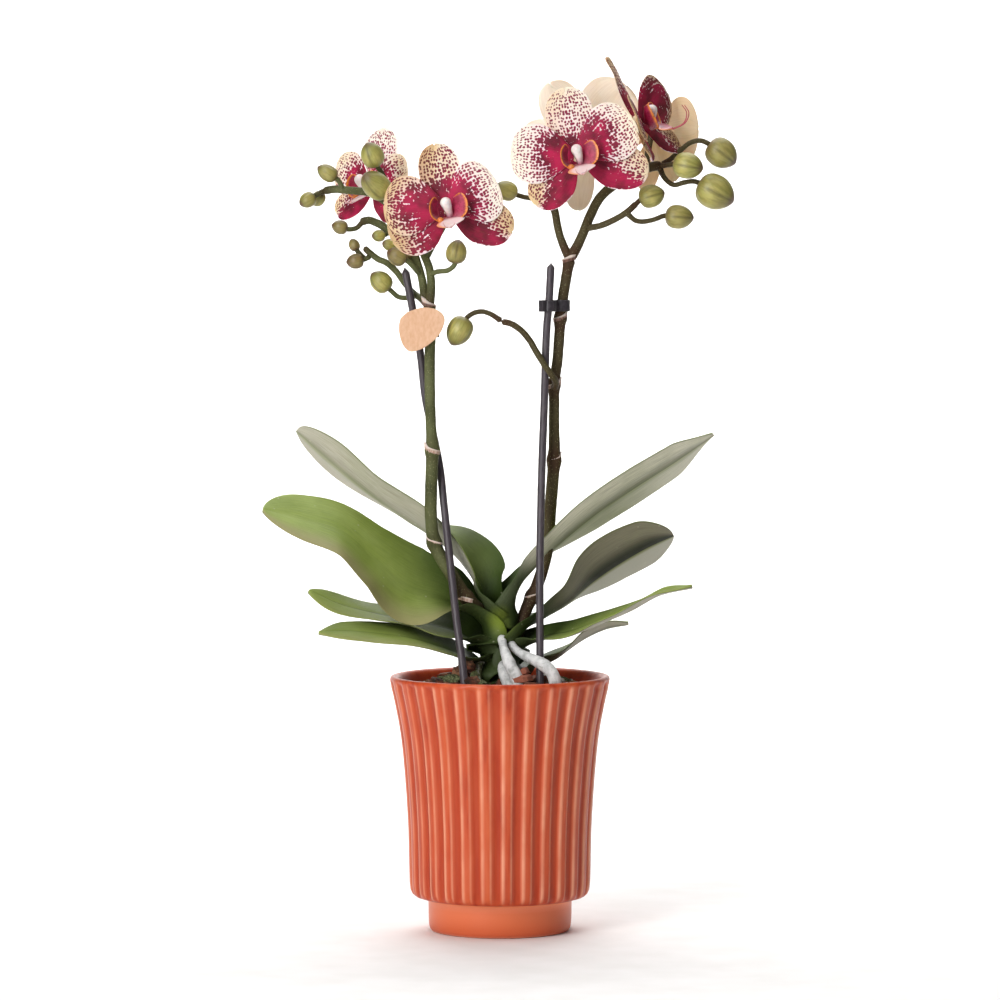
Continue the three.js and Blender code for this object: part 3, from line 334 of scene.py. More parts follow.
# The lip in the same directions. A side lobe runs from its low end up, each row from inside to
# its free edge, and the middle lobe from its root to its point.
LEFT_LOBE = [
    [[-0.6, -7.0, 5.2], [-2.4, -6.6, 7.4], [-3.4, -6.6, 9.6]],
    [[-3.4, -4.0, 4.8], [-5.6, -4.0, 7.2], [-6.6, -3.8, 10.4]],
    [[-4.2, 0.4, 5.0], [-6.4, 1.2, 7.2], [-7.4, 1.6, 10]],
    [[-3.4, 3.4, 6.0], [-4.8, 4.6, 7.4], [-5.4, 5.2, 9]],
]
RIGHT_LOBE = [
    [[1.4, -5.8, 5.2], [4.2, -5.4, 7.2], [6.4, -5.0, 8.8]],
    [[2.4, -3.0, 5.0], [6.2, -2.6, 6.8], [9.2, -2.0, 8.6]],
    [[2.6, 1.4, 5.2], [6.4, 2.2, 6.8], [9.4, 3.0, 8.4]],
    [[2.6, 5.0, 6.0], [5.2, 6.6, 7.0], [7.0, 7.2, 8.0]],
]
MIDDLE_LOBE = [
    [[-1.4, -4.2, 4.0], [0.4, -4.4, 4.0], [2.4, -4.0, 4.0]],
    [[-2.6, -6.0, 7.8], [1.2, -5.4, 8.4], [5.0, -4.2, 7.8]],
    [[-4.2, -8.2, 10.2], [1.8, -7.0, 11.0], [8.2, -4.8, 10.0]],
    [[0.2, -9.4, 14.2], [1.6, -9.0, 14.6], [3.0, -8.6, 14.2]],
]

# How far a tendril of the lip runs outwards, up and to the front from the middle lobe's point
TENDRIL = [(0, 0, 0), (0.8, 0.2, 1.8), (1.7, 1.2, 2.6), (2.1, 2.4, 2.4)]

# Chips that stand up over the rim: place, size, and 1 where the break is fresh and red
BIG_CHIPS = [([-14, -26, 113.5], 11, 0), ([-22, -22, 113], 10, 0), ([14, -30, 112.5], 10, 0),
             ([-4, -32, 112], 9, 0), ([6, -8, 114], 11, 0), ([-12, 6, 115], 12, 0),
             ([20, -12, 113], 10, 0), ([-30, -8, 112], 10, 0), ([10, -24, 116.5], 10, 1),
             ([11, -22, 119.5], 6, 1), ([-18, -12, 117], 12, 0), ([-15, -13, 121], 9, 0),
             ([-28, -16, 114], 10, 0), ([-25, -8, 116], 9, 0)]

# The low dome that loose chips and pale crumbs are strewn on: its height in the middle, and how
# far it has fallen at its radius. A chip's length and a crumb's radius lie between two values.
DOME_TOP = 112
DOME_FALL = 3
DOME_RADIUS = 42
CHIP_SIZES = (4, 12)
CRUMB_SIZES = (0.9, 2.0)
CRUMBS = 24
SEED = 11

# Cushions of moss between the chips, each its place and its radius
MOSS = [([-21.5, -18, 115.5], 4.2), ([-26, -12, 114.5], 3.4), ([-9, -24, 114], 3.2),
        ([3, 28, 112.5], 5), ([28, 14, 111.5], 4)]

# The youngest tissue of the leaves, low in front of the crown
HEART = Vector((0.5, -8.5, 141))

# Where the rounding of a leaf's tip begins, as a share of its length, and the degrees that each
# side of its sheath reaches round the crown, at its foot and at its mouth
TIP_START = 0.84
SHEATH_TURNS = (160, 92)

# Flutes of the pot: how many, the rib's share of each, the middle of its groove, and where their
# count starts, which puts a groove 2.1 degrees left of the front
POT_FLUTES = 28
RIB_SHARE = 0.44
GROOVE_MIDDLE = 0.72
FLUTE_PHASE = POT_FLUTES * (0.25 + 2.1 / 360) + GROOVE_MIDDLE
FLUTE_STEPS = 12

# Heights over which the grooves fade in above the foot and out at the rim
FOOT_TOP = 15
GROOVES_START = (15.2, 19)
GROOVES_END = (112.4, 115.2)

# The clips' rings round the stem and round the rod, as inner and outer radius, and the width of
# the web between them. The tag is flat, and its back lies at one depth.
CLIP_RINGS = ((3.3, 4.0), (2.5, 3.4))
CLIP_WEB = 2.6
CLIP_CHAMFER = 0.3
TAG_BACK = -15.2
TAG_THICKNESS = 1
TAG_ROUNDING = 0.25

# Millimetres from spot to spot, across a petal where it is widest and along it, and the share of
# its length at which a tepal leaves the flower's middle
SPOT_SPACING = (1.35, 1.55)
CLAW = 0.02

# The picture's view, in metres, degrees and millimetres
CAMERA_PLACE = (0, -2.35, 0.32)
CAMERA_TIP = 3.03
LENS = 187.2
SENSOR_WIDTH = 36

# The sweep, in metres: half its width, the middle and half of its run from front to back, and
# where it bends upwards and how wide
SWEEP_HALF_WIDTH = 3.2
SWEEP_MIDDLE = 1.2
SWEEP_HALF_RUN = 3.8
BEND_START = 2.0
BEND_RADIUS = 0.9

# Each light has its place, the point that it faces, and its width and height, in metres
LIGHTS = {
    "key_light": ((-1.05, -1.72, 0.98), (0, 0, 0.25), (0.8, 1.8)),
    "fill_light": ((1.5, -1.6, 0.7), (0, 0, 0.2), (1.2, 1.2)),
    "top_light": ((0, 0.5, 2.0), (0, 0.5, 0), (2.0, 2.2)),
    "sweep_light": ((0, 1.5, 1.8), (0, 2.7, 0.2), (1.6, 1.6)),
}

# Points of a mesh that are closer than this many metres are one
MERGE_WITHIN = 1e-7


# Curves and closed forms

def smooth(points, t):
    """The point at t (0 to 1) on the smooth curve through the points"""
    last = len(points) - 1
    i = min(int(t * last), last - 1)
    s = t * last - i
    p1, p2 = points[i], points[i + 1]
    p0 = points[i - 1] if i > 0 else p1 + (p1 - p2)
    p3 = points[i + 2] if i + 2 <= last else p2 + (p2 - p1)
    d0, d1, d2 = (max((b - a).length, 1e-9) ** 0.5 for a, b in ((p0, p1), (p1, p2), (p2, p3)))
    out = ((p1 - p0) / d0 - (p2 - p0) / (d0 + d1) + (p2 - p1) / d1) * d1
    into = ((p2 - p1) / d1 - (p3 - p1) / (d1 + d2) + (p3 - p2) / d2) * d1
    a = 2 * p1 - 2 * p2 + out + into
    b = -3 * p1 + 3 * p2 - 2 * out - into
    return ((a * s + b) * s + out) * s + p1


def vectors(points):
    return [Vector(p) for p in points]


def eased(s):
    """The place along a blade at step s (0 to 1): the steps get shorter towards its tip"""
    return math.sin(0.5 * math.pi * s)


def ramp(value, low, high):
    """0 below low, 1 above high, and a soft step between them"""
    x = min(max((value - low) / (high - low), 0), 1)
    return x * x * (3 - 2 * x)


def new_mesh():
    """An empty bmesh whose points carry two sets of marks for the materials"""
    bm = bmesh.new()
    bm.verts.layers.float_vector.new("place")
    bm.verts.layers.float_vector.new("tone")
    return bm


def add_copy(bm, part):
    """Adds a copy of one bmesh to another, marks and all"""
    mesh = bpy.data.meshes.new("part")
    part.to_mesh(mesh)
    bm.from_mesh(mesh)
    bpy.data.meshes.remove(mesh)


def form(bm, around, along, place):
    """A closed form: place(t, turn) gives each point, its place mark and its tone. It starts as
    a sphere, with t running from one pole to the other and turn round it."""
    ball = new_mesh()
    place_layer = ball.verts.layers.float_vector["place"]
    tone_layer = ball.verts.layers.float_vector["tone"]
    bmesh.ops.create_uvsphere(ball, u_segments=around, v_segments=along, radius=1)
    for vert in ball.verts:
        t = round(math.acos(max(-1, min(1, vert.co.z))) * along / math.pi) / along
        pole = t < 0.5 / along or t > 1 - 0.5 / along
        turn = None if pole else math.atan2(vert.co.y, vert.co.x)
        vert.co, vert[place_layer], vert[tone_layer] = place(t, turn)
    add_copy(bm, ball)
    ball.free()


def tube(bm, points, radius, around=16, spacing=1.2, tone=(0, 0, 0)):
    """A round-ended tube along the smooth curve through the points. The radius is a number or
    a function of t, and the tone a fixed one or a function of the place."""
    points = vectors(points)
    rough = sum((b - a).length for a, b in zip(points, points[1:]))
    along = max(6, round(rough / spacing))
    stations = [smooth(points, i / along) for i in range(along + 1)]
    lengths = [0]
    for a, b in zip(stations, stations[1:]):
        lengths.append(lengths[-1] + (b - a).length)
    frames = []
    side = None
    for i in range(along + 1):
        way = (stations[min(i + 1, along)] - stations[max(i - 1, 0)]).normalized()
        if side is None:
            side = way.orthogonal().normalized()
        side = (side - way * side.dot(way)).normalized()
        frames.append((side, way.cross(side)))

    def place(t, turn):
        i = round(t * along)
        r = radius(t, stations[i]) if callable(radius) else radius
        end = min(lengths[i], lengths[-1] - lengths[i])
        if end < r:
            r *= math.sqrt(max(0, 1 - (1 - end / r) ** 2))
        point = stations[i]
        ring = (0, 0)
        if turn is not None:
            ring = (math.cos(turn), math.sin(turn))
            across, over = frames[i]
            point = point + (across * ring[0] + over * ring[1]) * r
        shade = tone(point) if callable(tone) else tone
        return point * MM, Vector((*ring, lengths[i])), Vector(shade)

    form(bm, around, along, place)


def blade(bm, around, along, section, thickness, marks):
    """A thin closed form over a surface. section(t) gives a function of u, with t from end to
    end and u from edge to edge. Marks gives the place and tone of a point from t, u and side,
    which is 1 on the front. Around is a multiple of four."""
    columns = around // 2
    across = [math.cos(math.pi * k / columns) for k in range(columns + 1)]
    rows = []
    for i in range(along + 1):
        point = section(i / along)
        rows.append([point(u) for u in across])

    def place(t, turn):
        i = round(t * along)
        u, side, k = 0, 0, columns // 2
        if turn is not None:
            k = round(abs(turn) / math.pi * columns)
            u, side = across[k], math.sin(turn)
            side = math.copysign(abs(side) ** 0.6, side) if 0 < k < columns else 0
        point = rows[i][k]
        if side:
            run = rows[min(i + 1, along)][k] - rows[max(i - 1, 0)][k]
            over = rows[i][max(k - 1, 0)] - rows[i][min(k + 1, columns)]
            point = point + over.cross(run).normalized() * side * thickness(t, u) / 2
        return (point * MM, *map(Vector, marks(t, u, side)))

    form(bm, around, along, place)


def add_object(name, bm, material):
    """Makes a bmesh an object of the scene, at the origin, with its material"""
    mesh = bpy.data.meshes.new(name)
    bm.to_mesh(mesh)
    bm.free()
    mesh.materials.append(material)
    piece = bpy.data.objects.new(name, mesh)
    bpy.context.scene.collection.objects.link(piece)
    return piece


def add_piece(name, bm, material, nodes, slot, smooth_faces=True):
    """Closes a bmesh into a piece that stands for CAD nodes and rides with the plant"""
    bmesh.ops.remove_doubles(bm, verts=bm.verts, dist=MERGE_WITHIN)
    bmesh.ops.recalc_face_normals(bm, faces=bm.faces)
    for face in bm.faces:
        face.smooth = smooth_faces
    piece = add_object(name, bm, material)
    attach(piece, "root")
    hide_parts(*nodes)


# Materials. On Object coordinates, which are metres, a pattern's scale is 1000 over its size in
# millimetres: 42 gives clouds of 24 mm and 420 fibres of 2.4 mm. Pits, tips, grain and fibres are
# finer than that on the real plant and would not show, so they are drawn about 1 mm wide. On the
# place marks, which count millimetres along a piece, a stretch below 1 draws a pattern out.

# A Mix of two colours has its share in input 0, the colours in 6 and 7, and gives output 2
MIXED = {"out": 2, "data_type": "RGBA"}
SOFT = {"interpolation_type": "SMOOTHSTEP"}


def add_node(tree, kind, inputs=(), out=0, stops=(), **settings):
    """Adds a shader node with its settings and links and gives one output, or all of them. Inputs
    come in order or by name; each is a value, a hex colour or the output it is linked to."""
    made = tree.nodes.new("ShaderNode" + kind)
    for name, value in settings.items():
        setattr(made, name, value)
    for name, value in inputs.items() if isinstance(inputs, dict) else enumerate(inputs):
        if isinstance(value, bpy.types.NodeSocket):
            tree.links.new(value, made.inputs[name])
        else:
            made.inputs[name].default_value = linear(value) if isinstance(value, str) else value
    for i, (position, shade) in enumerate(stops):
        elements = made.color_ramp.elements
        element = elements[i] if i < 2 else elements.new(position)
        element.position = position
        if isinstance(shade, str):
            element.color = linear(shade)
        else:
            element.color = (shade, shade, shade, 1) if isinstance(shade, (int, float)) else shade
    return made.outputs if out is None else made.outputs[out]


def new_material(name):
    """A new material, the call that adds a node to it, and its Object coordinates in metres"""
    material = bpy.data.materials.new(name)
    material.use_nodes = True
    material.node_tree.nodes.clear()
    node = functools.partial(add_node, material.node_tree)
    return material, node, node("TexCoord", out="Object")


def finished(material, node, relief=None, **sockets):
    """Gives the material its shader, with values and links by socket name. A relief is the height
    that it follows, its strength and its depth in millimetres."""
    named = {name.replace("_", " "): value for name, value in sockets.items()}
    if relief:
        height, strength, depth = relief
        named["Normal"] = node("Bump", {"Height": height, "Strength": strength,
                                        "Distance": depth * MM})
    node("OutputMaterial", {"Surface": node("BsdfPrincipled", named)}, None)
    return material


def marks_of(node):
    """The three parts of a piece's place mark, then those of its tone mark"""
    parts = []
    for name in ("place", "tone"):
        mark = node("Attribute", out="Vector", attribute_name=name)
        parts += node("SeparateXYZ", (mark,), None)
    return parts


def lengthwise(node, a, b, along, stretch):
    """A place whose last part runs slowly along the piece"""
    return node("CombineXYZ", (a, b, node("Math", (along, stretch), operation="MULTIPLY")))


def streaks_along(node, a, b, along, stretch, scale, detail, rough=0.5):
    """A noise drawn out along the piece, for its veins, fibres or drawn lines"""
    return node("TexNoise", {"Vector": lengthwise(node, a, b, along, stretch), "Scale": scale,
                             "Detail": detail, "Roughness": rough})


def glaze_material(pot):
    # Fired glaze over earthenware, softly glossy: it pools darker in the grooves, breaks pale on
    # the ribs' edges, with a painted highlight laid on there, strongest on each rib's left edge,
    # and shows faint runs down the wall; round the foot the colour is painted light by height
    material, node, metres = new_material("coral_gloss_glaze")
    x, y, z = node("SeparateXYZ", (metres,), None)
    *_, share, inside, foot = marks_of(node)
    turn = node("Math", (y, x), operation="ARCTAN2")
    flute = node("Math", (turn, POT_FLUTES / math.tau, FLUTE_PHASE), operation="MULTIPLY_ADD")
    phase = node("Math", (flute,), operation="FRACT")
    # Pale rib edges, partly the glaze breaking thin and partly a painted highlight: strongest at phase 0,
    # the rib's left edge, which faces the light
    edge = node("ValToRGB", (phase,), stops=(
        (0, 1.0), (0.07, 0.7), (0.16, 0.08), (0.34, 0.0), (0.43, 0.6), (0.5, 0.1), (0.6, 0.0),
        (0.88, 0.0), (0.95, 0.35), (1, 1.0)))
    deep = node("ValToRGB", (phase,), stops=((0.46, 0.0), (0.58, 0.7), (0.84, 1.0), (0.95, 0.0)))
    drawn = node("Mapping", {"Vector": metres, "Scale": (1, 1, 0.1)})
    runs = node("TexNoise", {"Vector": drawn, "Scale": 210.0, "Detail": 3.0, "Roughness": 0.5})
    wander = node("TexNoise", {"Vector": metres, "Scale": 48.0, "Detail": 3.0})
    thin = node("MapRange", (wander, 0.36, 0.62, 0.55, 1.0))
    broken = node("Math", (thin, 0.9), operation="MULTIPLY")
    edged_rib = node("Math", (edge, share), operation="MULTIPLY")
    edges = node("Math", (edged_rib, broken), operation="MULTIPLY")
    pool = node("Math", (deep, share), operation="MULTIPLY")
    base = node("ValToRGB", (runs,), stops=((0.3, pot.glaze_deep), (0.46, pot.glaze),
                                            (0.72, pot.glaze_light)))
    pooled = node("Mix", {0: node("Math", (pool, 0.7), operation="MULTIPLY"), 6: base,
                          7: pot.glaze_deep}, **MIXED)
    edged = node("Mix", {0: edges, 6: pooled, 7: pot.glaze_edge}, **MIXED)
    # Painted light on the foot: a lit pale line at its lower edge, a darker reflected line just above it,
    # and paler glaze upwards where the wall above would shade it
    height = node("MapRange", (z, 0.0, FOOT_TOP * MM))
    bottom = node("ValToRGB", (height,), stops=(
        (0.0, "#E89474"), (0.08, "#C65C38"), (0.22, "#CC6038"), (0.4, "#D26840"), (0.75, "#DC744C"),
        (0.95, "#EC8C64")))
    footed = node("Mix", {0: foot, 6: edged, 7: bottom}, **MIXED)
    colour = node("Mix", {0: inside, 6: footed, 7: pot.glaze_inside}, **MIXED)
    return finished(material, node, (wander, 0.2, 0.6), Base_Color=colour, Roughness=0.38, IOR=1.48,
                    Specular_IOR_Level=0.22, Coat_Weight=0.1, Coat_Roughness=0.12)


def clear_plastic_material():
    # Thin clear polypropylene of a nursery pot: slightly milky, with fine scuffs
    material, node, metres = new_material("scuffed_clear_plastic")
    drawn = node("Mapping", {"Vector": metres, "Scale": (1, 1, 6)})
    scuffs = node("TexNoise", {"Vector": drawn, "Scale": 90.0, "Detail": 6.0})
    dull = node("MapRange", (scuffs, 0.35, 0.7, 0.12, 0.4))
    colour = node("ValToRGB", (scuffs,), stops=((0.3, "#E9ECE8"), (0.7, "#CFD8D1")))
    return finished(material, node, Base_Color=colour, Roughness=dull, IOR=1.49,
                    Transmission_Weight=0.85)


def bark_material():
    # Composted pine bark: dry, fibrous and dark, with red-brown and paler broken faces, and red
    # where a break is fresh
    material, node, metres = new_material("pine_bark_chips")
    along_grain = node("Mapping", {"Vector": metres, "Scale": (1, 0.25, 1.6)})
    fibre = node("TexNoise", {"Vector": along_grain, "Scale": 420.0, "Detail": 5.0, "Roughness": 0.7})
    patch = node("TexNoise", {"Vector": metres, "Scale": 75.0, "Detail": 2.0})
    red = node("ValToRGB", (patch,), stops=((0.4, "#3A2418"), (0.5, "#80452E"), (0.62, "#9C6E50")))
    share = node("MapRange", (fibre, 0.38, 0.62, 0.75, 0.0))
    dark = node("Mix", {0: share, 6: red, 7: "#1C120D"}, **MIXED)
    fresh = node("Math", (marks_of(node)[3], 0.75), operation="MULTIPLY")
    colour = node("Mix", {0: fresh, 6: dark, 7: "#9C5A44"}, **MIXED)
    return finished(material, node, (fibre, 0.8, 0.8), Base_Color=colour, Roughness=0.92)


def perlite_material():
    # Expanded perlite: chalky crumbs with tiny pits
    material, node, metres = new_material("chalky_perlite")
    pits = node("TexNoise", {"Vector": metres, "Scale": 900.0, "Detail": 4.0})
    colour = node("ValToRGB", (pits,), stops=((0.3, "#99948A"), (0.6, "#D9D6CF")))
    return finished(material, node, (pits, 0.6, 0.5), Base_Color=colour, Roughness=0.95)


def moss_material():
    # Live cushion moss between the chips: soft green tips over brown
    material, node, metres = new_material("cushion_moss")
    tips = node("TexNoise", {"Vector": metres, "Scale": 1100.0, "Detail": 4.0,
                             "Roughness": 0.7})
    colour = node("ValToRGB", (tips,), stops=((0.36, "#332E1E"), (0.5, "#5E6640"), (0.64, "#929870")))
    return finished(material, node, (tips, 0.9, 1.0), Base_Color=colour, Roughness=0.95)


def root_material(name, pale, dull, streak, streaked):
    # Orchid root: dry spongy skin, silver-grey and mottled, with the green showing through
    material, node, metres = new_material(name)
    cos, sin, along, *_ = marks_of(node)
    streaks = streaks_along(node, cos, sin, along, 0.14, 3.0, 5.0, 0.62)
    mottle = node("TexNoise", {"Vector": metres, "Scale": 210.0, "Detail": 4.0, "Roughness": 0.6})
    skin = node("ValToRGB", (mottle,), stops=((0.34, dull), (0.5, pale), (0.66, "#E4E3E0")))
    share = node("MapRange", (streaks, 0.66 - streaked, 0.8 - streaked, 0.0, 0.85))
    colour = node("Mix", {0: share, 6: skin, 7: streak}, **MIXED)
    lumps = node("Math", (streaks, mottle), operation="ADD")
    return finished(material, node, (lumps, 0.45, 0.6), Base_Color=colour, Roughness=0.6)


def leaf_material(plant):
    # Thick waxy leaf: green and softly mottled above, matt grey-green below, with painted shade
    # towards its base and round the sheath, painted shade in the crease beside the rib of a folded leaf
    # and painted light on its other half, a painted sheen along its front edge, fine veins along the
    # leaf, pale specks of lime, and yellow-green young tissue where it leaves the crown
    material, node, metres = new_material("waxy_leaf")
    u, along, side, grey, fold, edge = marks_of(node)
    cloud = node("TexNoise", {"Vector": metres, "Scale": 42.0, "Detail": 4.0, "Roughness": 0.55})
    across = node("Math", (u, 9.0), operation="MULTIPLY")
    veins = streaks_along(node, across, 0.0, along, 0.02, 4.0, 3.0)
    from_rib = node("Math", (u,), operation="ABSOLUTE")
    top = node("ValToRGB", (cloud,), stops=((0.36, plant.leaf_green), (0.64, plant.leaf_light)))
    veined = node("Mix", {0: node("MapRange", (veins, 0.42, 0.7, 0.0, 0.22)), 6: top,
                          7: plant.leaf_deep}, **MIXED)
    # Painted sheen along the front edge of the upper face, as strong as the leaf's edge tone; where it is
    # strong, the rib channel is left out
    channel_kept = node("Math", (edge, -0.9, 1.0), operation="MULTIPLY_ADD")
    groove = node("MapRange", (from_rib, 0.015, 0.07, 0.45, 0.0), **SOFT)
    channel = node("Math", (groove, channel_kept), operation="MULTIPLY")
    ribbed = node("Mix", {0: channel, 6: veined, 7: plant.leaf_deep}, **MIXED)
    painted_sheen_edge = node("MapRange", (u, 0.25, 1.0, 0.0, 0.75), **SOFT)
    rim = node("Math", (edge, painted_sheen_edge), operation="MULTIPLY")
    upper = node("Mix", {0: rim, 6: ribbed, 7: "#9A8E68"}, **MIXED)

    # Underside by its tone: 0.5 green, 0.7 pale, and 1 a darker grey-brown, partly the leaf's colour and
    # partly painted shade for an underside in shadow
    under = node("ValToRGB", (grey,), stops=((0.5, "#868C62"), (0.7, "#DAD7C2"), (1.0, "#78745F")))
    lined = node("Mix", {0: node("MapRange", (veins, 0.42, 0.62, 0.0, 0.32)), 6: under,
                         7: "#57523F"}, **MIXED)
    clouded = node("Mix", {0: node("MapRange", (cloud, 0.45, 0.7, 0.0, 0.22)), 6: lined,
                           7: "#78814E"}, **MIXED)
    band = node("MapRange", (from_rib, 0.02, 0.3, 0.55, 0.0), **SOFT)
    banded = node("Mix", {0: band, 6: clouded, 7: "#6C783C"}, **MIXED)
    # Painted shade in the crease beside the rib of a folded leaf, as deep as the leaf's fold tone
    near = node("MapRange", (u, -0.02, 0.02), **SOFT)
    fade = node("MapRange", (u, 0.12, 0.6, 1.0, 0.0), **SOFT)
    outer = node("Math", (node("MapRange", (along, 20.0, 65.0, 0.35, 1.0)), fold), operation="MULTIPLY")
    crease = node("Math", (node("Math", (near, fade), operation="MULTIPLY"), outer),
                  operation="MULTIPLY")
    crease_shaded = node("Mix", {0: crease, 6: banded, 7: "#1C200B"}, **MIXED)
    # Painted light on the other half of a folded leaf, the half that turns towards the light and the pale
    # floor
    lit = node("Math", (node("MapRange", (u, -0.03, -0.12)), fold), operation="MULTIPLY")
    painted_lit_half = node("Mix", {0: node("Math", (lit, 0.75), operation="MULTIPLY"), 6: crease_shaded,
                              7: "#ACAC9C"}, **MIXED)
    margin = node("MapRange", (from_rib, 0.93, 1.0, 0.0, 0.75))
    lower = node("Mix", {0: margin, 6: painted_lit_half, 7: "#4A5628"}, **MIXED)

    above = node("MapRange", (side, -0.15, 0.15), **SOFT)
    both = node("Mix", {0: above, 6: lower, 7: upper}, **MIXED)
    # Painted shade: both faces darken towards the leaf's base, the upper face much further out, and the
    # sheath round the crown darker still
    leaning = node("Math", (u, 22.0, node("Math", (above, -34.0, 34.0), operation="MULTIPLY_ADD")),
                   operation="MULTIPLY_ADD")
    inward = node("Math", (along, leaning), operation="ADD")
    shade = node("MapRange", (inward, 21.0, 86.0, 0.94, 0.0), **SOFT)
    shaded = node("Mix", {0: shade, 6: both, 7: plant.leaf_deep}, **MIXED)
    sheath = node("MapRange", (along, 26.0, 52.0, 0.92, 0.0), **SOFT)
    wrapped = node("Mix", {0: sheath, 6: shaded, 7: "#2F3F16"}, **MIXED)
    heart = node("VectorMath", (metres, HEART * MM), "Value", operation="DISTANCE")
    young = node("MapRange", (heart, MM, 9 * MM, 0.75, 0.0), **SOFT)
    based = node("Mix", {0: young, 6: wrapped, 7: "#849630"}, **MIXED)
    specks = node("TexVoronoi", {"Vector": metres, "Scale": 150.0, "Randomness": 1.0}, "Distance")
    speck = node("MapRange", (specks, 0.03, 0.09, 0.4, 0.0))
    colour = node("Mix", {0: speck, 6: based, 7: "#C9C8AC"}, **MIXED)
    dull = node("MapRange", (cloud, 0.3, 0.7, 0.45, 0.6))
    return finished(material, node, (veins, 0.3, 0.6), Base_Color=colour, Roughness=dull, IOR=1.4,
                    Specular_IOR_Level=0.3)


def crown_material():
    # Short stem between the leaf bases: juicy green with lengthwise veins, old and brown below
    material, node, metres = new_material("crown_sheath")
    cos, sin, along, *_ = marks_of(node)
    veins = streaks_along(node, cos, sin, along, 0.05, 5.0, 4.0)
    z = node("SeparateXYZ", (metres,), 2)
    green = node("ValToRGB", (veins,), stops=((0.36, "#5E6C2C"), (0.68, "#333E19")))
    old = node("MapRange", (z, 114 * MM, 126 * MM, 0.75, 0.0))
    colour = node("Mix", {0: old, 6: green, 7: "#4A3A22"}, **MIXED)
    return finished(material, node, (veins, 0.4, 0.6), Base_Color=colour, Roughness=0.45,
                    Coat_Weight=0.1)


def stem_material(plant):
    # Flower spike: hard olive skin with pale breathing dots, flushed brown at its joints and base
    material, node, metres = new_material("olive_stem")
    cos, sin, along, brown, *_ = marks_of(node)
    cloud = node("TexNoise", {"Vector": metres, "Scale": 75.0, "Detail": 4.0})
    lines = streaks_along(node, cos, sin, along, 0.06, 6.0, 3.0)
    skin = node("ValToRGB", (cloud,), stops=((0.36, plant.stem), (0.64, "#414429")))
    drawn = node("Mix", {0: node("MapRange", (lines, 0.42, 0.66, 0.0, 0.4)), 6: skin,
                         7: "#62633E"}, **MIXED)
    flushed = node("Mix", {0: brown, 6: drawn, 7: plant.stem_flush}, **MIXED)
    ring_x = node("Math", (cos, 2.6), operation="MULTIPLY")
    ring_y = node("Math", (sin, 2.6), operation="MULTIPLY")
    dots = node("TexVoronoi", {"Vector": lengthwise(node, ring_x, ring_y, along, 0.6), "Scale": 1.5,
                               "Randomness": 1.0}, "Distance")
    dot = node("MapRange", (dots, 0.12, 0.22, 0.6, 0.0))
    colour = node("Mix", {0: dot, 6: flushed, 7: "#A3A377"}, **MIXED)
    return finished(material, node, (lines, 0.25, 0.5), Base_Color=colour, Roughness=0.6,
                    Specular_IOR_Level=0.15)


def scale_material():
    # Dry papery scale round a joint of the stem: brown below, bleached along its free edge
    material, node, _ = new_material("papery_scale")
    u, along, _, brown, _, _ = marks_of(node)
    across = node("Math", (u, 12.0), operation="MULTIPLY")
    fibres = streaks_along(node, across, 0.0, along, 0.3, 2.0, 4.0)
    pale = node("ValToRGB", (fibres,), stops=((0.35, "#D8BFAE"), (0.65, "#B48D7C")))
    dark = node("ValToRGB", (fibres,), stops=((0.35, "#7A5446"), (0.65, "#4A322A")))
    dry = node("Mix", {0: brown, 6: pale, 7: dark}, **MIXED)
    bleached = node("MapRange", (along, 0.62, 0.95, 0.0, 0.9))
    colour = node("Mix", {0: bleached, 6: dry, 7: "#E6D3C8"}, **MIXED)
    return finished(material, node, (fibres, 0.6, 0.4), Base_Color=colour, Roughness=0.75,
                    Subsurface_Weight=0.1, Subsurface_Scale=MM)


def bud_material(flowers):
    # Unopened bud: waxy yellow-green, flushed brown-purple at base and tip, with fine veins
    material, node, metres = new_material("waxy_bud")
    cos, sin, along, flush, seam, light = marks_of(node)
    veins = streaks_along(node, cos, sin, along, 0.05, 6.0, 3.0)
    cloud = node("TexNoise", {"Vector": metres, "Scale": 110.0, "Detail": 2.0})
    base = node("Mix", {0: light, 6: flowers.bud, 7: flowers.bud_light}, **MIXED)
    veined = node("Mix", {0: node("MapRange", (veins, 0.42, 0.66, 0.0, 0.38)), 6: base,
                          7: "#5F6228"}, **MIXED)
    patchy = node("Math", (cloud, 0.6, flush), operation="MULTIPLY_ADD")
    tinted = node("Mix", {0: node("MapRange", (patchy, 0.4, 1.1, 0.0, 0.85)), 6: veined,
                          7: "#5E3F30"}, **MIXED)
    colour = node("Mix", {0: seam, 6: tinted, 7: "#4E4424"}, **MIXED)
    return finished(material, node, (veins, 0.4, 0.5), Base_Color=colour, Roughness=0.42,
                    Subsurface_Weight=0.1, Subsurface_Scale=2 * MM)


def stake_material():
    # Plastic-coated stake: dull purple-black with drawn lines
    material, node, _ = new_material("coated_stake")
    cos, sin, along, *_ = marks_of(node)
    drawn = streaks_along(node, cos, sin, along, 0.03, 7.0, 3.0)
    colour = node("ValToRGB", (drawn,), stops=((0.35, "#302A30"), (0.65, "#51484E")))
    return finished(material, node, (drawn, 0.3, 0.3), Base_Color=colour, Roughness=0.42)


def clip_material():
    # Moulded plastic clip, satin and near black
    material, node, metres = new_material("moulded_clip")
    grain = node("TexNoise", {"Vector": metres, "Scale": 700.0})
    colour = node("ValToRGB", (grain,), stops=((0.3, "#252126"), (0.7, "#3A343A")))
    return finished(material, node, (grain, 0.2, 0.2), Base_Color=colour, Roughness=0.4)


def tag_material():
    # Uncoated peach card with soft fibres
    material, node, metres = new_material("peach_card")
    drawn = node("Mapping", {"Vector": metres, "Scale": (1, 1, 0.5)})
    fibres = node("TexNoise", {"Vector": drawn, "Scale": 900.0, "Detail": 5.0})
    colour = node("ValToRGB", (fibres,), stops=((0.3, "#D6A682"), (0.7, "#E2B897")))
    return finished(material, node, (fibres, 0.25, 0.2), Base_Color=colour, Roughness=0.75)


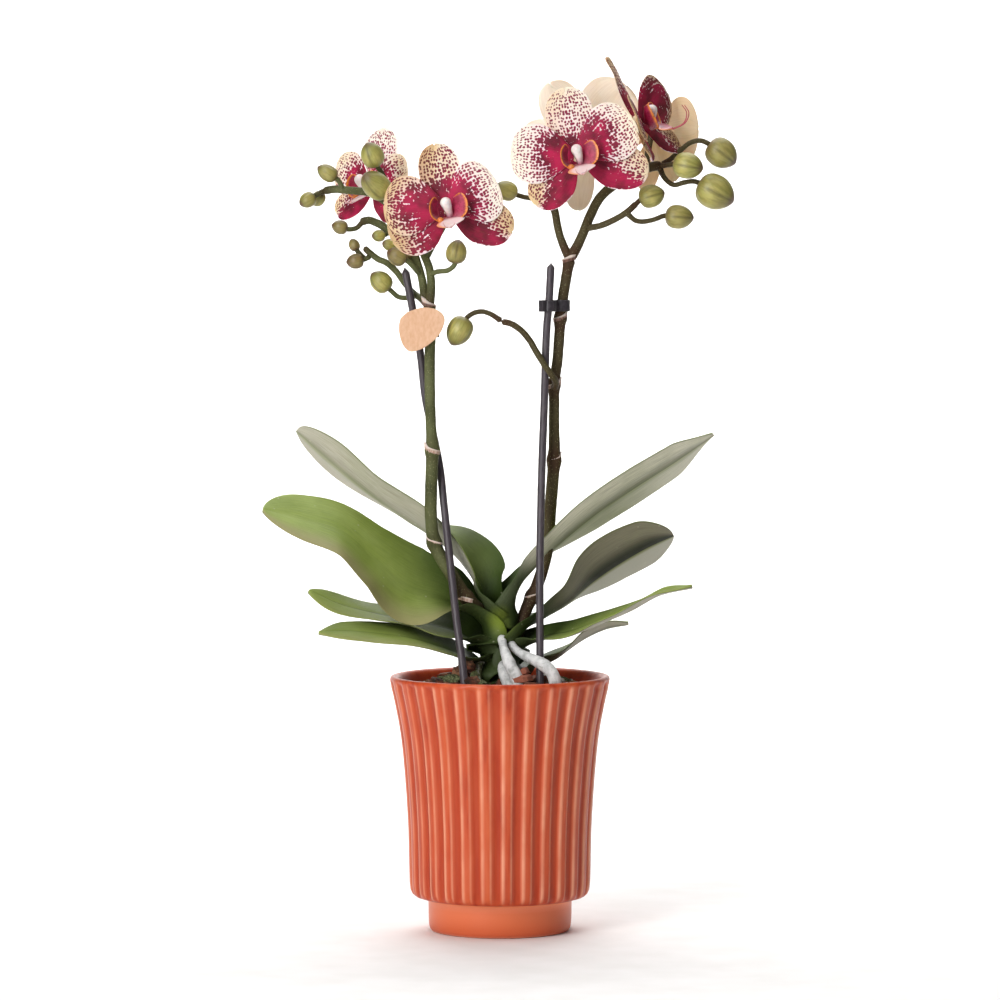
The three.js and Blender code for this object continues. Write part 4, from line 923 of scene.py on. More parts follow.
def petal_material(flowers):
    # Petal: thin living tissue, cream to pink, with rows of spots that run together into a
    # crimson blotch with pale gaps
    material, node, metres = new_material("spotted_petal")
    u, along, side, dense, warm, pink = marks_of(node)
    drift = node("TexNoise", {"Vector": metres, "Scale": 240.0, "Detail": 2.0})
    rows = node("Math", (drift, 0.7, u), operation="MULTIPLY_ADD")
    steps = node("Math", (along, 1 / SPOT_SPACING[1]), operation="MULTIPLY")
    spots = node("TexVoronoi", {"Vector": node("CombineXYZ", (rows, steps)), "Scale": 1.0,
                                "Randomness": 0.62}, "Distance", voronoi_dimensions="2D")
    patch = node("TexNoise", {"Vector": metres, "Scale": 420.0, "Detail": 3.0, "Roughness": 0.6})
    dashes = streaks_along(node, u, 0.0, along, 0.22, 1.0, 2.0)
    both = node("Math", (patch, dashes), operation="ADD")
    uneven = node("Math", (both, 1.4, -1.36), operation="MULTIPLY_ADD")
    scaled = node("Math", (dense, 0.12), operation="ADD")
    limit = node("Math", (uneven, scaled, dense), operation="MULTIPLY_ADD")
    inked = node("MapRange", (node("Math", (limit, spots), operation="SUBTRACT"), -0.05, 0.06),
                 **SOFT)
    front = node("MapRange", (side, -0.2, 0.2))
    spot = node("Math", (inked, front), operation="MULTIPLY")
    cloud = node("TexNoise", {"Vector": metres, "Scale": 130.0, "Detail": 3.0})
    hue = node("Math", (cloud, 0.3, node("Math", (warm, -0.15), operation="ADD")),
               operation="MULTIPLY_ADD")
    tan = node("ValToRGB", (hue,), stops=((0.05, flowers.cream_light), (0.45, flowers.cream),
                                          (0.95, flowers.tan)))
    ground = node("Mix", {0: pink, 6: tan, 7: flowers.pink}, **MIXED)
    blotch = node("ValToRGB", (cloud,), stops=((0.38, flowers.blotch), (0.62, flowers.blotch_light)))
    small = node("Mix", {0: warm, 6: flowers.spot, 7: "#5A2C1C"}, **MIXED)
    ripe = node("MapRange", (dense, 0.34, 0.62))
    aged = node("Mix", {0: node("Math", (warm, 0.55), operation="MULTIPLY"), 6: blotch,
                        7: "#6C0E20"}, **MIXED)
    ink = node("Mix", {0: ripe, 6: small, 7: aged}, **MIXED)
    marked = node("Mix", {0: spot, 6: ground, 7: ink}, **MIXED)
    veins = streaks_along(node, u, 0.0, along, 0.04, 2.4, 3.0)
    colour = node("Mix", {0: node("MapRange", (veins, 0.4, 0.7, 0.0, 0.13)), 6: marked,
                          7: "#8A5A44"}, **MIXED)
    height = node("Math", (spot, -0.2, veins), operation="MULTIPLY_ADD")
    return finished(material, node, (height, 0.3, 0.5), Base_Color=colour, Roughness=0.6,
                    Specular_IOR_Level=0.25, Subsurface_Weight=0.12, Subsurface_Scale=MM)


def column_material():
    # Column: smooth white wax, pink at the neck, with painted shade in a line down one side, where the
    # stigma's hollow lies
    material, node, metres = new_material("waxy_column")
    _, _, _, pink, dark, _ = marks_of(node)
    cloud = node("TexNoise", {"Vector": metres, "Scale": 500.0})
    base = node("ValToRGB", (cloud,), stops=((0.35, "#EDE4E0"), (0.65, "#DDCBC8")))
    flushed = node("Mix", {0: pink, 6: base, 7: "#C0748C"}, **MIXED)
    colour = node("Mix", {0: dark, 6: flushed, 7: "#3A0C22"}, **MIXED)
    return finished(material, node, (cloud, 0.2, 0.3), Base_Color=colour, Roughness=0.4,
                    Subsurface_Weight=0.15, Subsurface_Scale=MM, Coat_Weight=0.15)


def lip_material():
    # Lip: firm glossy tissue, crimson inside, with orange rims, pale points and freckles
    material, node, metres = new_material("glossy_lip")
    _, _, _, crimson, orange, pale = marks_of(node)
    freckles = node("TexVoronoi", {"Vector": metres, "Scale": 1000.0, "Randomness": 1.0}, "Distance")
    cloud = node("TexNoise", {"Vector": metres, "Scale": 420.0})
    base = node("ValToRGB", (cloud,), stops=((0.35, "#8E1038"), (0.65, "#AE2850")))
    pale_part = node("Mix", {0: pale, 6: base, 7: "#E6C9C8"}, **MIXED)
    rim = node("Mix", {0: orange, 6: pale_part, 7: "#E2832A"}, **MIXED)
    share = node("MapRange", (freckles, 0.22, 0.4, 0.85, 0.0))
    freckled = node("Math", (share, crimson), operation="MULTIPLY")
    colour = node("Mix", {0: freckled, 6: rim, 7: "#7A1030"}, **MIXED)
    return finished(material, node, (cloud, 0.25, 0.3), Base_Color=colour, Roughness=0.4,
                    Subsurface_Weight=0.12, Subsurface_Scale=MM, Coat_Weight=0.1)


def floor_material(stage):
    # Matt paper sweep, plain and pale
    material, node, metres = new_material("paper_sweep")
    grain = node("TexNoise", {"Vector": metres, "Scale": 40.0})
    colour = node("ValToRGB", (grain,), stops=((0.3, stage.floor), (0.7, "#F7F6F5")))
    return finished(material, node, Base_Color=colour, Roughness=0.9)


# What a user would change

def colour_setting(name, description, hex_colour):
    """A colour of the sidebar, with its sRGB default"""
    return FloatVectorProperty(name=name, description=description, subtype="COLOR", size=4,
                               default=linear(hex_colour))


def power_setting(name, description, watts):
    """A light's power in the sidebar"""
    return FloatProperty(name=name, description=description, unit="POWER", default=watts, min=0)


class PotSettings(bpy.types.PropertyGroup):
    groove_depth: FloatProperty(
        name="Groove depth", description="Depth of the grooves between the ribs", unit="LENGTH",
        default=1.35 * MM, min=0)
    chips: IntProperty(
        name="Bark chips", description="How many loose chips lie on the bark", default=260, min=0)
    glaze: colour_setting("Glaze", "Colour of the ribs", "#BE4A26")
    glaze_light: colour_setting("Light glaze", "Where the glaze is thinner", "#CA5C34")
    glaze_deep: colour_setting("Pooled glaze", "Colour in the grooves", "#A43416")
    # The edge glaze also stands for a painted highlight along the ribs' edges
    glaze_edge: colour_setting("Edge glaze", "Where the glaze breaks on an edge", "#E8A080")
    glaze_inside: colour_setting("Inner glaze", "Colour inside the pot", "#B83E1E")


class PlantSettings(bpy.types.PropertyGroup):
    leaf_green: colour_setting("Leaf green", "Upper face of the leaves", "#84963F")
    leaf_light: colour_setting("Light leaf green", "Paler mottling of the leaves", "#9AAA58")
    # Deep leaf green also serves as the painted shade towards the leaves' bases
    leaf_deep: colour_setting("Deep leaf green", "Rib channel and veins", "#2E3F15")
    stem: colour_setting("Stem", "Skin of the flower spikes", "#5E6240")
    stem_flush: colour_setting("Stem flush", "Flush round the joints", "#443222")


class FlowerSettings(bpy.types.PropertyGroup):
    wave: FloatProperty(
        name="Wave", description="How far the petals wave", unit="LENGTH", default=0.5 * MM, min=0)
    cream: colour_setting("Cream", "Ground of the petals", "#E2C698")
    cream_light: colour_setting("Light cream", "Paler clouds of the ground", "#F8EEDF")
    tan: colour_setting("Tan", "Ground of the older tepals", "#BA9266")
    pink: colour_setting("Pink", "Ground round the blotch", "#F2D8DE")
    spot: colour_setting("Spots", "Small spots near the edge", "#8A2444")
    blotch: colour_setting("Blotch", "Where the spots run together", "#640A28")
    blotch_light: colour_setting("Light blotch", "Brighter parts of the blotch", "#B8144C")
    bud: colour_setting("Bud", "Skin of the buds", "#84823E")
    bud_light: colour_setting("Light bud", "Fresh part of the buds", "#B6AE60")


class StageSettings(bpy.types.PropertyGroup):
    floor: colour_setting("Floor", "Colour of the sweep", "#F1F0EE")
    key_power: power_setting("Key light", "Power of the tall light on the left", 41)
    fill_power: power_setting("Fill light", "Power of the weaker light on the right", 0.6)
    top_power: power_setting("Top light", "Power of the soft light overhead", 30)
    sky: FloatProperty(
        name="Room light", description="Strength of the even light all round", default=0.1, min=0)
    sweep_power: power_setting("Sweep light", "Power of the light on the sweep behind", 60)


# Pot and bark

def sampled(points, spacing):
    """Points about a spacing apart on the smooth curve, every given point among them"""
    points = vectors(points)
    last = len(points) - 1
    out = []
    for i in range(last):
        count = max(1, round((points[i + 1] - points[i]).length / spacing))
        out += [smooth(points, (i + k / count) / last) for k in range(count)]
    return out + [points[-1]]


def turned(bm, profile, steps, tone):
    """Spins a profile of points in the XZ plane once round the Z axis, a quarter at a time.
    tone(i) marks point i."""
    quarter = new_mesh()
    place_layer = quarter.verts.layers.float_vector["place"]
    tone_layer = quarter.verts.layers.float_vector["tone"]
    line = []
    length = 0
    for i, point in enumerate(profile):
        vert = quarter.verts.new(point * MM)
        length += (point - profile[i - 1]).length if i else 0
        vert[place_layer] = Vector((0, length, 0))
        vert[tone_layer] = Vector(tone(i))
        line.append(vert)
    edges = [quarter.edges.new(pair) for pair in zip(line, line[1:])]
    bmesh.ops.spin(quarter, geom=line + edges, cent=(0, 0, 0), axis=(0, 0, 1), angle=math.pi / 2,
                   steps=steps // 4, use_merge=False, use_duplicate=False)
    for _ in range(4):
        add_copy(bm, quarter)
        bmesh.ops.rotate(quarter, verts=quarter.verts, matrix=Matrix.Rotation(math.pi / 2, 3, "Z"))
    quarter.free()


def roughen(bm, depth, scale):
    """Moves points along their normals by a cloudy noise of the given depth, in millimetres"""
    bm.normal_update()
    moves = [(v, v.normal * noise.noise(v.co * scale) * depth * MM) for v in bm.verts]
    for vert, move in moves:
        vert.co += move


def pot(settings):
    """The glazed pot: its profile from the foot over the wall and rim to the inside, spun, and then
    hollowed between the ribs"""
    foot = sampled([(29.6, 0, 0), (31.2, 0, 0.4), (31.9, 0, 1.4), (32.3, 0, 3.5), (32.5, 0, 8),
                    (32.8, 0, 14.4), (33.3, 0, 15)], 1.2)
    body = sampled([(34, 0, 15.2), (36.2, 0, 15.3), (38.6, 0, 16), (39.9, 0, 17.2), (40.7, 0, 19),
                    (41, 0, 21.5), (41.9, 0, 52), (44.9, 0, 88), (48, 0, 105), (49.4, 0, 111)], 2)
    head = sampled([(49.4, 0, 111.6), (49.7, 0, 112.8), (49.93, 0, 114)], 0.5)
    rim = sampled([(49.95, 0, 114.2), (49.7, 0, 115.3), (49, 0, 115.9), (48, 0, 116),
                   (46.9, 0, 115.7), (46, 0, 114.9), (45.4, 0, 113.4), (44.8, 0, 111)], 0.6)
    inside = sampled([(44.8, 0, 110.6), (41.2, 0, 90), (37.9, 0, 50), (37.4, 0, 25),
                      (36.6, 0, 21.6), (34.6, 0, 20.5)], 4)
    profile = [Vector((0, 0, 0)), Vector((15, 0, 0)), *foot, *body, *head, *rim, *inside,
               Vector((16, 0, 20.5)), Vector((0, 0, 20.5))]
    body_start = 2 + len(foot)
    rim_start = body_start + len(body) + len(head)
    last_grooved = rim_start + 2
    rim_top = rim_start + 6

    def tone(i):
        """How grooved the wall is at point i, how far inside it lies, and 1 on the foot"""
        share = 0
        if body_start <= i <= last_grooved:
            height = profile[i].z
            share = ramp(height, *GROOVES_START) * (1 - ramp(height, *GROOVES_END))
        return share, ramp(i, rim_top, rim_start + len(rim)), float(i < body_start)

    bm = new_mesh()
    turned(bm, profile, POT_FLUTES * FLUTE_STEPS, tone)
    tone_layer = bm.verts.layers.float_vector["tone"]
    for vert in bm.verts:
        share = vert[tone_layer].x
        if share:
            phase = (math.atan2(vert.co.y, vert.co.x) * POT_FLUTES / math.tau + FLUTE_PHASE) % 1
            hollow = max(0, (phase - RIB_SHARE) / (1 - RIB_SHARE))
            depth = settings.groove_depth * share * math.sin(math.pi * hollow) ** 0.7
            vert.co.xy *= 1 - depth / vert.co.xy.length
    add_piece("glazed_pot", bm, glaze_material(settings), ["pot"], "glaze")


def grow_pot():
    """The thin nursery pot that stands inside the glazed one"""
    bm = new_mesh()
    profile = [(0, 0, 20.8), (20, 0, 20.8), (33.2, 0, 20.8), (33.7, 0, 21.6), (37.4, 0, 60),
               (41.3, 0, 101.8), (41.6, 0, 102.6), (42.5, 0, 102.9), (42.6, 0, 103.4),
               (42.6, 0, 104.7), (42.2, 0, 105), (41.3, 0, 105), (40.6, 0, 104.4), (36.6, 0, 60),
               (32.6, 0, 22.2), (32, 0, 21.8), (20, 0, 21.8), (0, 0, 21.8)]
    turned(bm, vectors(profile), 128, lambda i: (0, 0, 0))
    add_piece("nursery_pot", bm, clear_plastic_material(), ["grow_pot"], "clear_plastic")


def strewn(draws, reach):
    """A random place on the low dome of the bark bed, within reach of its middle"""
    radius = reach * math.sqrt(draws.random())
    turn = draws.uniform(0, math.tau)
    height = DOME_TOP - DOME_FALL * (radius / DOME_RADIUS) ** 2
    return radius * math.cos(turn), radius * math.sin(turn), height


def chip(bm, draws, where, size, smallest, fresh=0):
    """A bevelled splinter of bark, a few dozen faces; fresh is how red it is"""
    made = bmesh.ops.create_cube(bm, size=1)["verts"]
    edges = list({edge for vert in made for edge in vert.link_edges})
    made = bmesh.ops.bevel(bm, geom=made + edges, offset=0.16, segments=1, profile=0.5, material=-1,
                           affect="EDGES")["verts"]
    tone_layer = bm.verts.layers.float_vector["tone"]
    for vert in made:
        vert.co += Vector([draws.uniform(-0.09, 0.09) for _ in range(3)])
        vert[tone_layer] = Vector((fresh, 0, 0))
    spread = [draws.uniform(size * 0.7, size), draws.uniform(size * 0.4, size * 0.8),
              draws.uniform(smallest, size * 0.5)]
    turn = Matrix.Rotation(draws.uniform(0, math.tau), 4, "Z")
    tilt = Matrix.Rotation(draws.uniform(-0.7, 0.7), 4, "X")
    scale = Matrix.Diagonal((*spread, 1))
    there = Matrix.Translation(where)
    bmesh.ops.transform(bm, verts=made, matrix=Matrix.Scale(MM, 4) @ there @ turn @ tilt @ scale)


def bark(settings):
    """The bark bed with its loose chips, the moss cushions and the pale crumbs"""
    draws = random.Random(SEED)
    bm = new_mesh()
    line = vectors([(0, 0, 111.4), (10, 0, 111.2), (20, 0, 110.6), (30, 0, 109.6), (38, 0, 108.4),
                    (40, 0, 106), (39.4, 0, 100), (32.4, 0, 22.4), (16, 0, 22.3), (0, 0, 22.2)])
    turned(bm, line, 72, lambda i: (0, 0, 0))
    for _ in range(settings.chips):
        x, y, z = strewn(draws, 37.5)
        where = Vector((x, y, z - draws.uniform(-0.8, 1.6)))
        chip(bm, draws, where, draws.uniform(*CHIP_SIZES), 2)
    for where, size, fresh in BIG_CHIPS:
        chip(bm, draws, Vector(where), size, 3, fresh)
    add_piece("bark_bed", bm, bark_material(), ["bark"], "bark", smooth_faces=False)

    bm = new_mesh()
    for place, radius in MOSS:
        def cushion(t, turn):
            way = sphere_way(t, turn)
            tuft = 1 + 0.3 * noise.noise(way * 3 + Vector(place)) + 0.12 * noise.noise(way * 9)
            point = Vector(place) + Vector((way.x, way.y, 0.62 * way.z)) * radius * tuft
            return point * MM, Vector((0, 0, 0)), Vector((0, 0, 0))

        form(bm, 40, 24, cushion)
    add_piece("moss_cushions", bm, moss_material(), ["bark"], "bark")

    bm = new_mesh()
    for _ in range(CRUMBS):
        x, y, z = strewn(draws, 37)
        crumb = bmesh.ops.create_icosphere(bm, subdivisions=2, radius=1)["verts"]
        size = draws.uniform(*CRUMB_SIZES)
        where = Vector((x, y, z + draws.uniform(1.2, 2.6)))
        for vert in crumb:
            vert.co = (where + vert.co * size * (1 + 0.35 * noise.noise(vert.co * 2 + where))) * MM
    add_piece("perlite_crumbs", bm, perlite_material(), ["bark"], "bark")


# Crown, roots and leaves

def crown():
    """The short stem: lumpy, thicker below and thin at its top"""
    def thick(t, point):
        return (5.6 + 2.2 * ramp(point.z, 126, 114) + 0.5 * noise.noise(point * 0.4)
                - 3.4 * ramp(t, 0.6, 1) ** 1.5)

    bm = new_mesh()
    heights = (101.5, 110, 118, 126, 134, 142)
    tube(bm, [(-0.5, 0, height) for height in heights], thick, around=40, spacing=1)
    roughen(bm, 0.9, 420)
    add_piece("short_stem", bm, crown_material(), ["crown"], "crown")


def roots():
    silver = root_material("dry_silver_root", "#CFCFCE", "#9FA19D", "#8D927A", 0.07), "root"
    green = root_material("wet_green_root", "#6C7446", "#4A4A30", "#39341F", 0.2), "green_root"

    def swell(t, point):
        return 1.8 + 1.05 * ramp(t, 0.08, 0.6) + 0.25 * noise.noise(point * 0.16)

    for (name, points), (material, slot) in zip(ROOTS.items(), (silver, silver, silver, green)):
        bm = new_mesh()
        tube(bm, points, swell, around=26, spacing=0.7)
        roughen(bm, 0.14, 420)
        add_piece(name + "_velamen", bm, material, [name], slot)


def leaf_surface(spec, ahead):
    """A leaf's surface: a sheath rolled round the crown, which opens into the folded blade"""
    radius, low, high, sheath_fold = spec["clasp"]
    rib = vectors([(ahead * radius, 0, low), (ahead * (radius + 0.4), 0, high), *spec["rib"][1:]])
    profile = [(radius * math.radians(turn), 0, sheath_fold, 1) for turn in SHEATH_TURNS]
    # The blade still clasps the crown a little where it leaves the sheath
    clasped = [0.3] + [0] * (len(spec["half"]) - 1)
    profile = vectors([*profile, *zip(spec["half"], spec["roll"], spec["fold"], clasped)])

    def section(s):
        t = eased(s)
        centre = smooth(rib, t)
        along = (smooth(rib, min(t + 0.004, 1)) - smooth(rib, max(t - 0.004, 0))).normalized()
        half, roll, fold, clasp = smooth(profile, t)
        heading = Vector((along.x + 0.1 * ahead, along.y, 0)).normalized()
        front = heading.cross(UP) * ahead
        rise = UP * along.dot(heading) - heading * along.z
        rise = (rise - along * rise.dot(along)).normalized()
        roll = math.radians(roll)
        side = front * math.cos(roll) - rise * math.sin(roll)
        face = rise * math.cos(roll) + front * math.sin(roll)
        slope = math.radians(fold)
        end = max(0, (t - TIP_START) / (1 - TIP_START))
        width = half * min(1, s / 0.04) ** 0.5 * math.sqrt(max(0, 1 - end ** 2.4))
        rolled = ramp(clasp, 0, 1)

        def point(u):
            reach = width * abs(u)
            flat = Vector((reach * math.cos(slope), 0.8 * reach ** 1.12 * math.sin(slope)))
            flat.y += 0.35 * u * u * math.sin(9 * t + 2 * u * ahead) * (1 - ramp(t, 0.9, 1))
            bend = reach / radius
            rolled_up = Vector((radius * math.sin(bend), radius * (1 - math.cos(bend))))
            out, lift = flat.lerp(rolled_up, rolled)
            return centre + math.copysign(out, out * u * ahead) * side + lift * face

        return point

    return section


def leaves(settings):
    material = leaf_material(settings)

    def thickness(s, u):
        opened = ramp(s, 0.06, 0.2)
        return 1.0 + opened * (1.1 - 0.9 * abs(u) ** 1.5 - 0.5 * math.exp(-(u / 0.1) ** 2))

    for name, spec in LEAVES.items():
        bm = new_mesh()
        ahead = 1 if spec["rib"][-1][0] > 0 else -1
        rib = vectors(spec["rib"])
        length = 16 + sum((b - a).length for a, b in zip(rib, rib[1:]))

        def marks(s, u, side):
            grey, fold, pale = spec["tone"]
            # A right leaf's painted sheen along its front edge shows only towards its tip
            if ahead > 0:
                pale *= ramp(s, 0.42, 0.62)
            return (u * ahead, length * eased(s), side), (grey, fold, pale)

        blade(bm, 60, 84, leaf_surface(spec, ahead), thickness, marks)
        add_piece(name + "_blade", bm, material, [name], spec["slot"])


# Flower spikes

def flower_frame(flower):
    """A flower's middle and its own directions: right, top and front"""
    front = Vector(flower["facing"]).normalized()
    top = (UP - front * front.z).normalized()
    return Vector(flower["centre"]), top.cross(front), top, front


def in_flower(frame, place):
    """A point given in a flower's own directions: right, top and front"""
    centre, right, top, front = frame
    return centre + right * place[0] + top * place[1] + front * place[2]


def chained(parts):
    """The stems of a spike that continue each other, as one line of points with radii"""
    points = list(parts[0][1])
    radii = [parts[0][0]] * len(points)
    for radius, more in parts[1:]:
        points += more[1:]
        radii += [radius] * (len(more) - 1)
    return points, radii


def along_list(values, t):
    """The value at t (0 to 1) between the values of a list"""
    x = t * (len(values) - 1)
    i = min(int(x), len(values) - 2)
    return values[i] + (values[i + 1] - values[i]) * (x - i)


def spike(name, parts, material, scales):
    """The stems, branches and stalks of a spike as one piece, and its papery scales as another"""
    joints = [(Vector(place), brown) for place, _, brown in parts["joints"]]
    ends = [Vector(points[-1]) for _, points in parts["stems"][3:]]

    def tone(point):
        """How brown the skin is: at joints, at the stubs of branches and low down"""
        brown = max((0.2 + 0.8 * b) * math.exp(-((point - p).length / 6) ** 2) for p, b in joints)
        stub = max(math.exp(-((point - p).length / 4) ** 2) for p in ends)
        low = 0.75 * ramp(point.z, 168, 154)
        return min(1, 0.8 * brown + 0.8 * stub + low + parts["brown"]), 0, 0

    def swollen(t, point):
        near = max(math.exp(-((point - p).length / 2.6) ** 2) for p, _ in joints)
        return along_list(radii, t) + 0.75 * near

    def flared(radius):
        return lambda t, point: radius * (1 + 0.35 * math.exp(-t * 14))

    bm = new_mesh()
    points, radii = chained(parts["stems"][:3])
    tube(bm, points, swollen, around=24, spacing=0.9, tone=tone)
    for radius, points in parts["stems"][3:]:
        tube(bm, points, flared(radius), around=18, spacing=0.9, tone=tone)
    for stalk, _, _ in parts["buds"]:
        tube(bm, stalk, flared(1.15), around=14, spacing=0.9, tone=tone)
    for flower in FLOWERS.values():
        if flower["spike"] == name:
            frame = flower_frame(flower)
            stalk = [Vector(flower["stalk_from"]), in_flower(frame, (0, -3, -8)),
                     in_flower(frame, (0, -0.6, -4.2))]
            tube(bm, stalk, flared(1.4), around=16, spacing=0.9, tone=tone)
    roughen(bm, 0.1, 500)
    add_piece(name + "_stem", bm, material, [name], "stem")

    bm = new_mesh()
    for place, radius, brown in parts["joints"]:
        papery_scale(bm, Vector(place), radius, brown)
    add_piece(name + "_scales", bm, scales, [name], "stem")


def papery_scale(bm, place, radius, brown):
    """A short dry collar round a joint, slanted, with a small flake on one side"""
    outward = math.copysign(1, place.x + 1)

    def section(t):
        def point(u):
            wrap = u * math.radians(176)
            reach = radius + 0.55 + 0.5 * t * t
            out = Vector((outward * math.cos(wrap), -math.sin(wrap) * outward, 0))
            slant = 0.9 * math.cos(wrap)
            flake = 2.2 * max(0, 1 - abs(u) / 0.3) ** 1.5
            return place + out * reach + Vector((0, 0, slant - 1.2 + t * (2.2 + flake)))
        return point

    blade(bm, 48, 10, section, lambda t, u: 0.35, lambda t, u, side: ((u, t, side), (brown, 0, 0)))


def bud(bm, stalk, length, width, flush):
    """An egg with three seams and a small nib, its middle on the end of its stalk"""
    tip = Vector(stalk[-1])
    axis = (tip - Vector(stalk[-2])).normalized()
    side = axis.cross(UP).normalized()
    over = side.cross(axis)

    widest = 0.46

    def place(t, turn):
        s = (1 - math.cos(math.pi * t)) / 2
        if s < widest:
            round_off = (1 - (1 - s / widest) ** 2.5) ** (1 / 2.5)
        else:
            round_off = (1 - ((s - widest) / (1 - widest)) ** 2.0) ** 0.66
        nib = 0.09 * ramp(s, 0.94, 0.985)
        r = width / 2 * max(round_off * (1 - 0.02 * s), nib if s < 0.998 else 0)
        point = tip + axis * length * (s - 0.5)
        seam = 0
        ring = (0, 0)
        if turn is not None:
            third = (turn / (math.tau / 3)) % 1
            seam = math.exp(-((min(third, 1 - third)) / 0.045) ** 2) * ramp(s, 0.1, 0.35)
            r *= 1 - 0.07 * seam
            ring = (math.cos(turn), math.sin(turn))
            point = point + (side * ring[0] + over * ring[1]) * r
        tint = flush + 0.6 * ramp(s, 0.82, 1) + 0.25 * ramp(s, 0.2, 0)
        light = 1 - abs(2 * s - 0.9)
        return point * MM, Vector((*ring, s * length)), Vector((tint, 0.6 * seam, light))

    form(bm, 36, 22, place)


def spikes(plant, flowers):
    stem = stem_material(plant)
    scales = scale_material()
    skin = bud_material(flowers)
    for name, parts in SPIKES.items():
        spike(name, parts, stem, scales)
        bm = new_mesh()
        for i, (stalk, length, width) in enumerate(parts["buds"]):
            flush = 0.6 if i in parts["brown_buds"] else 0.15 + 0.07 * (i % 4)
            bud(bm, stalk, length, width, flush)
        add_piece(name + "_buds", bm, skin, [name], "stem")


# Stakes, clips and tag

def stakes():
    coat = stake_material()
    for name, points in STAKES.items():
        bm = new_mesh()
        tube(bm, points, STAKE_RADIUS, around=24, spacing=3)
        add_piece(name + "_rod", bm, coat, [name], "stake")


def clips():
    """Two rings, a web between them and a tab to press, on each clip"""
    moulded = clip_material()
    for name, (stem, rod, height, tab) in CLIPS.items():
        bm = new_mesh()
        stem, rod = Vector(stem), Vector(rod)
        half = height / 2
        for middle, (inner, outer) in zip((stem, rod), CLIP_RINGS):
            edge = outer - CLIP_CHAMFER
            ring = [(inner, 0, -half), (edge, 0, -half), (outer, 0, CLIP_CHAMFER - half),
                    (outer, 0, half - CLIP_CHAMFER), (edge, 0, half), (inner, 0, half),
                    (inner, 0, -half)]
            before = set(bm.verts)
            turned(bm, vectors(ring), 40, lambda i: (0, 0, 0))
            made = [v for v in bm.verts if v not in before]
            bmesh.ops.translate(bm, verts=made, vec=middle * MM)
        way = rod - stem
        turn = Matrix.Rotation(math.atan2(way.y, way.x), 4, "Z")
        web = (3.2, way.length - 2.2)
        thumb_tab = (way.length + 2.9, way.length + 3.7 + tab)
        for start, end in (web, thumb_tab):
            block = bmesh.ops.create_cube(bm, size=1)["verts"]
            shape = Matrix.Diagonal((end - start, CLIP_WEB, height, 1))
            where = Matrix.Translation(stem + way.normalized() * (start + end) / 2)
            bmesh.ops.transform(bm, verts=block, matrix=Matrix.Scale(MM, 4) @ where @ turn @ shape)
        add_piece(name + "_moulding", bm, moulded, [name], "clip", smooth_faces=False)


def tag():
    """A flat card, rounded at its edges and bare on both sides"""
    bm = new_mesh()
    outline = [(x, TAG_BACK, z) for x, z in TAG_OUTLINE]
    edge = sampled([*outline, outline[0]], 0.9)[:-1]
    card = bm.faces.new([bm.verts.new(point * MM) for point in edge])
    raised = bmesh.ops.extrude_face_region(bm, geom=[card])["geom"]
    front = [part for part in raised if isinstance(part, bmesh.types.BMVert)]
    bmesh.ops.translate(bm, vec=(0, -TAG_THICKNESS * MM, 0), verts=front)
    flat = [face for face in bm.faces if len(face.verts) > 4]
    rims = list({rim for face in flat for rim in face.edges})
    bmesh.ops.bevel(bm, geom=rims, offset=TAG_ROUNDING * MM, segments=2, profile=0.5, material=-1,
                    affect="EDGES")
    add_piece("plant_tag", bm, tag_material(), ["tag"], "tag", smooth_faces=False)


# Flowers

def tepal_half(t, widest):
    """Half of a tepal's width: a narrow claw that widens and ends round"""
    if t < widest:
        return 0.16 + 0.84 * math.sin(0.5 * math.pi * t / widest) ** 1.3
    return max(0, 1 - ((t - widest) / (1 - widest)) ** 2.3) ** (1 / 2.3)


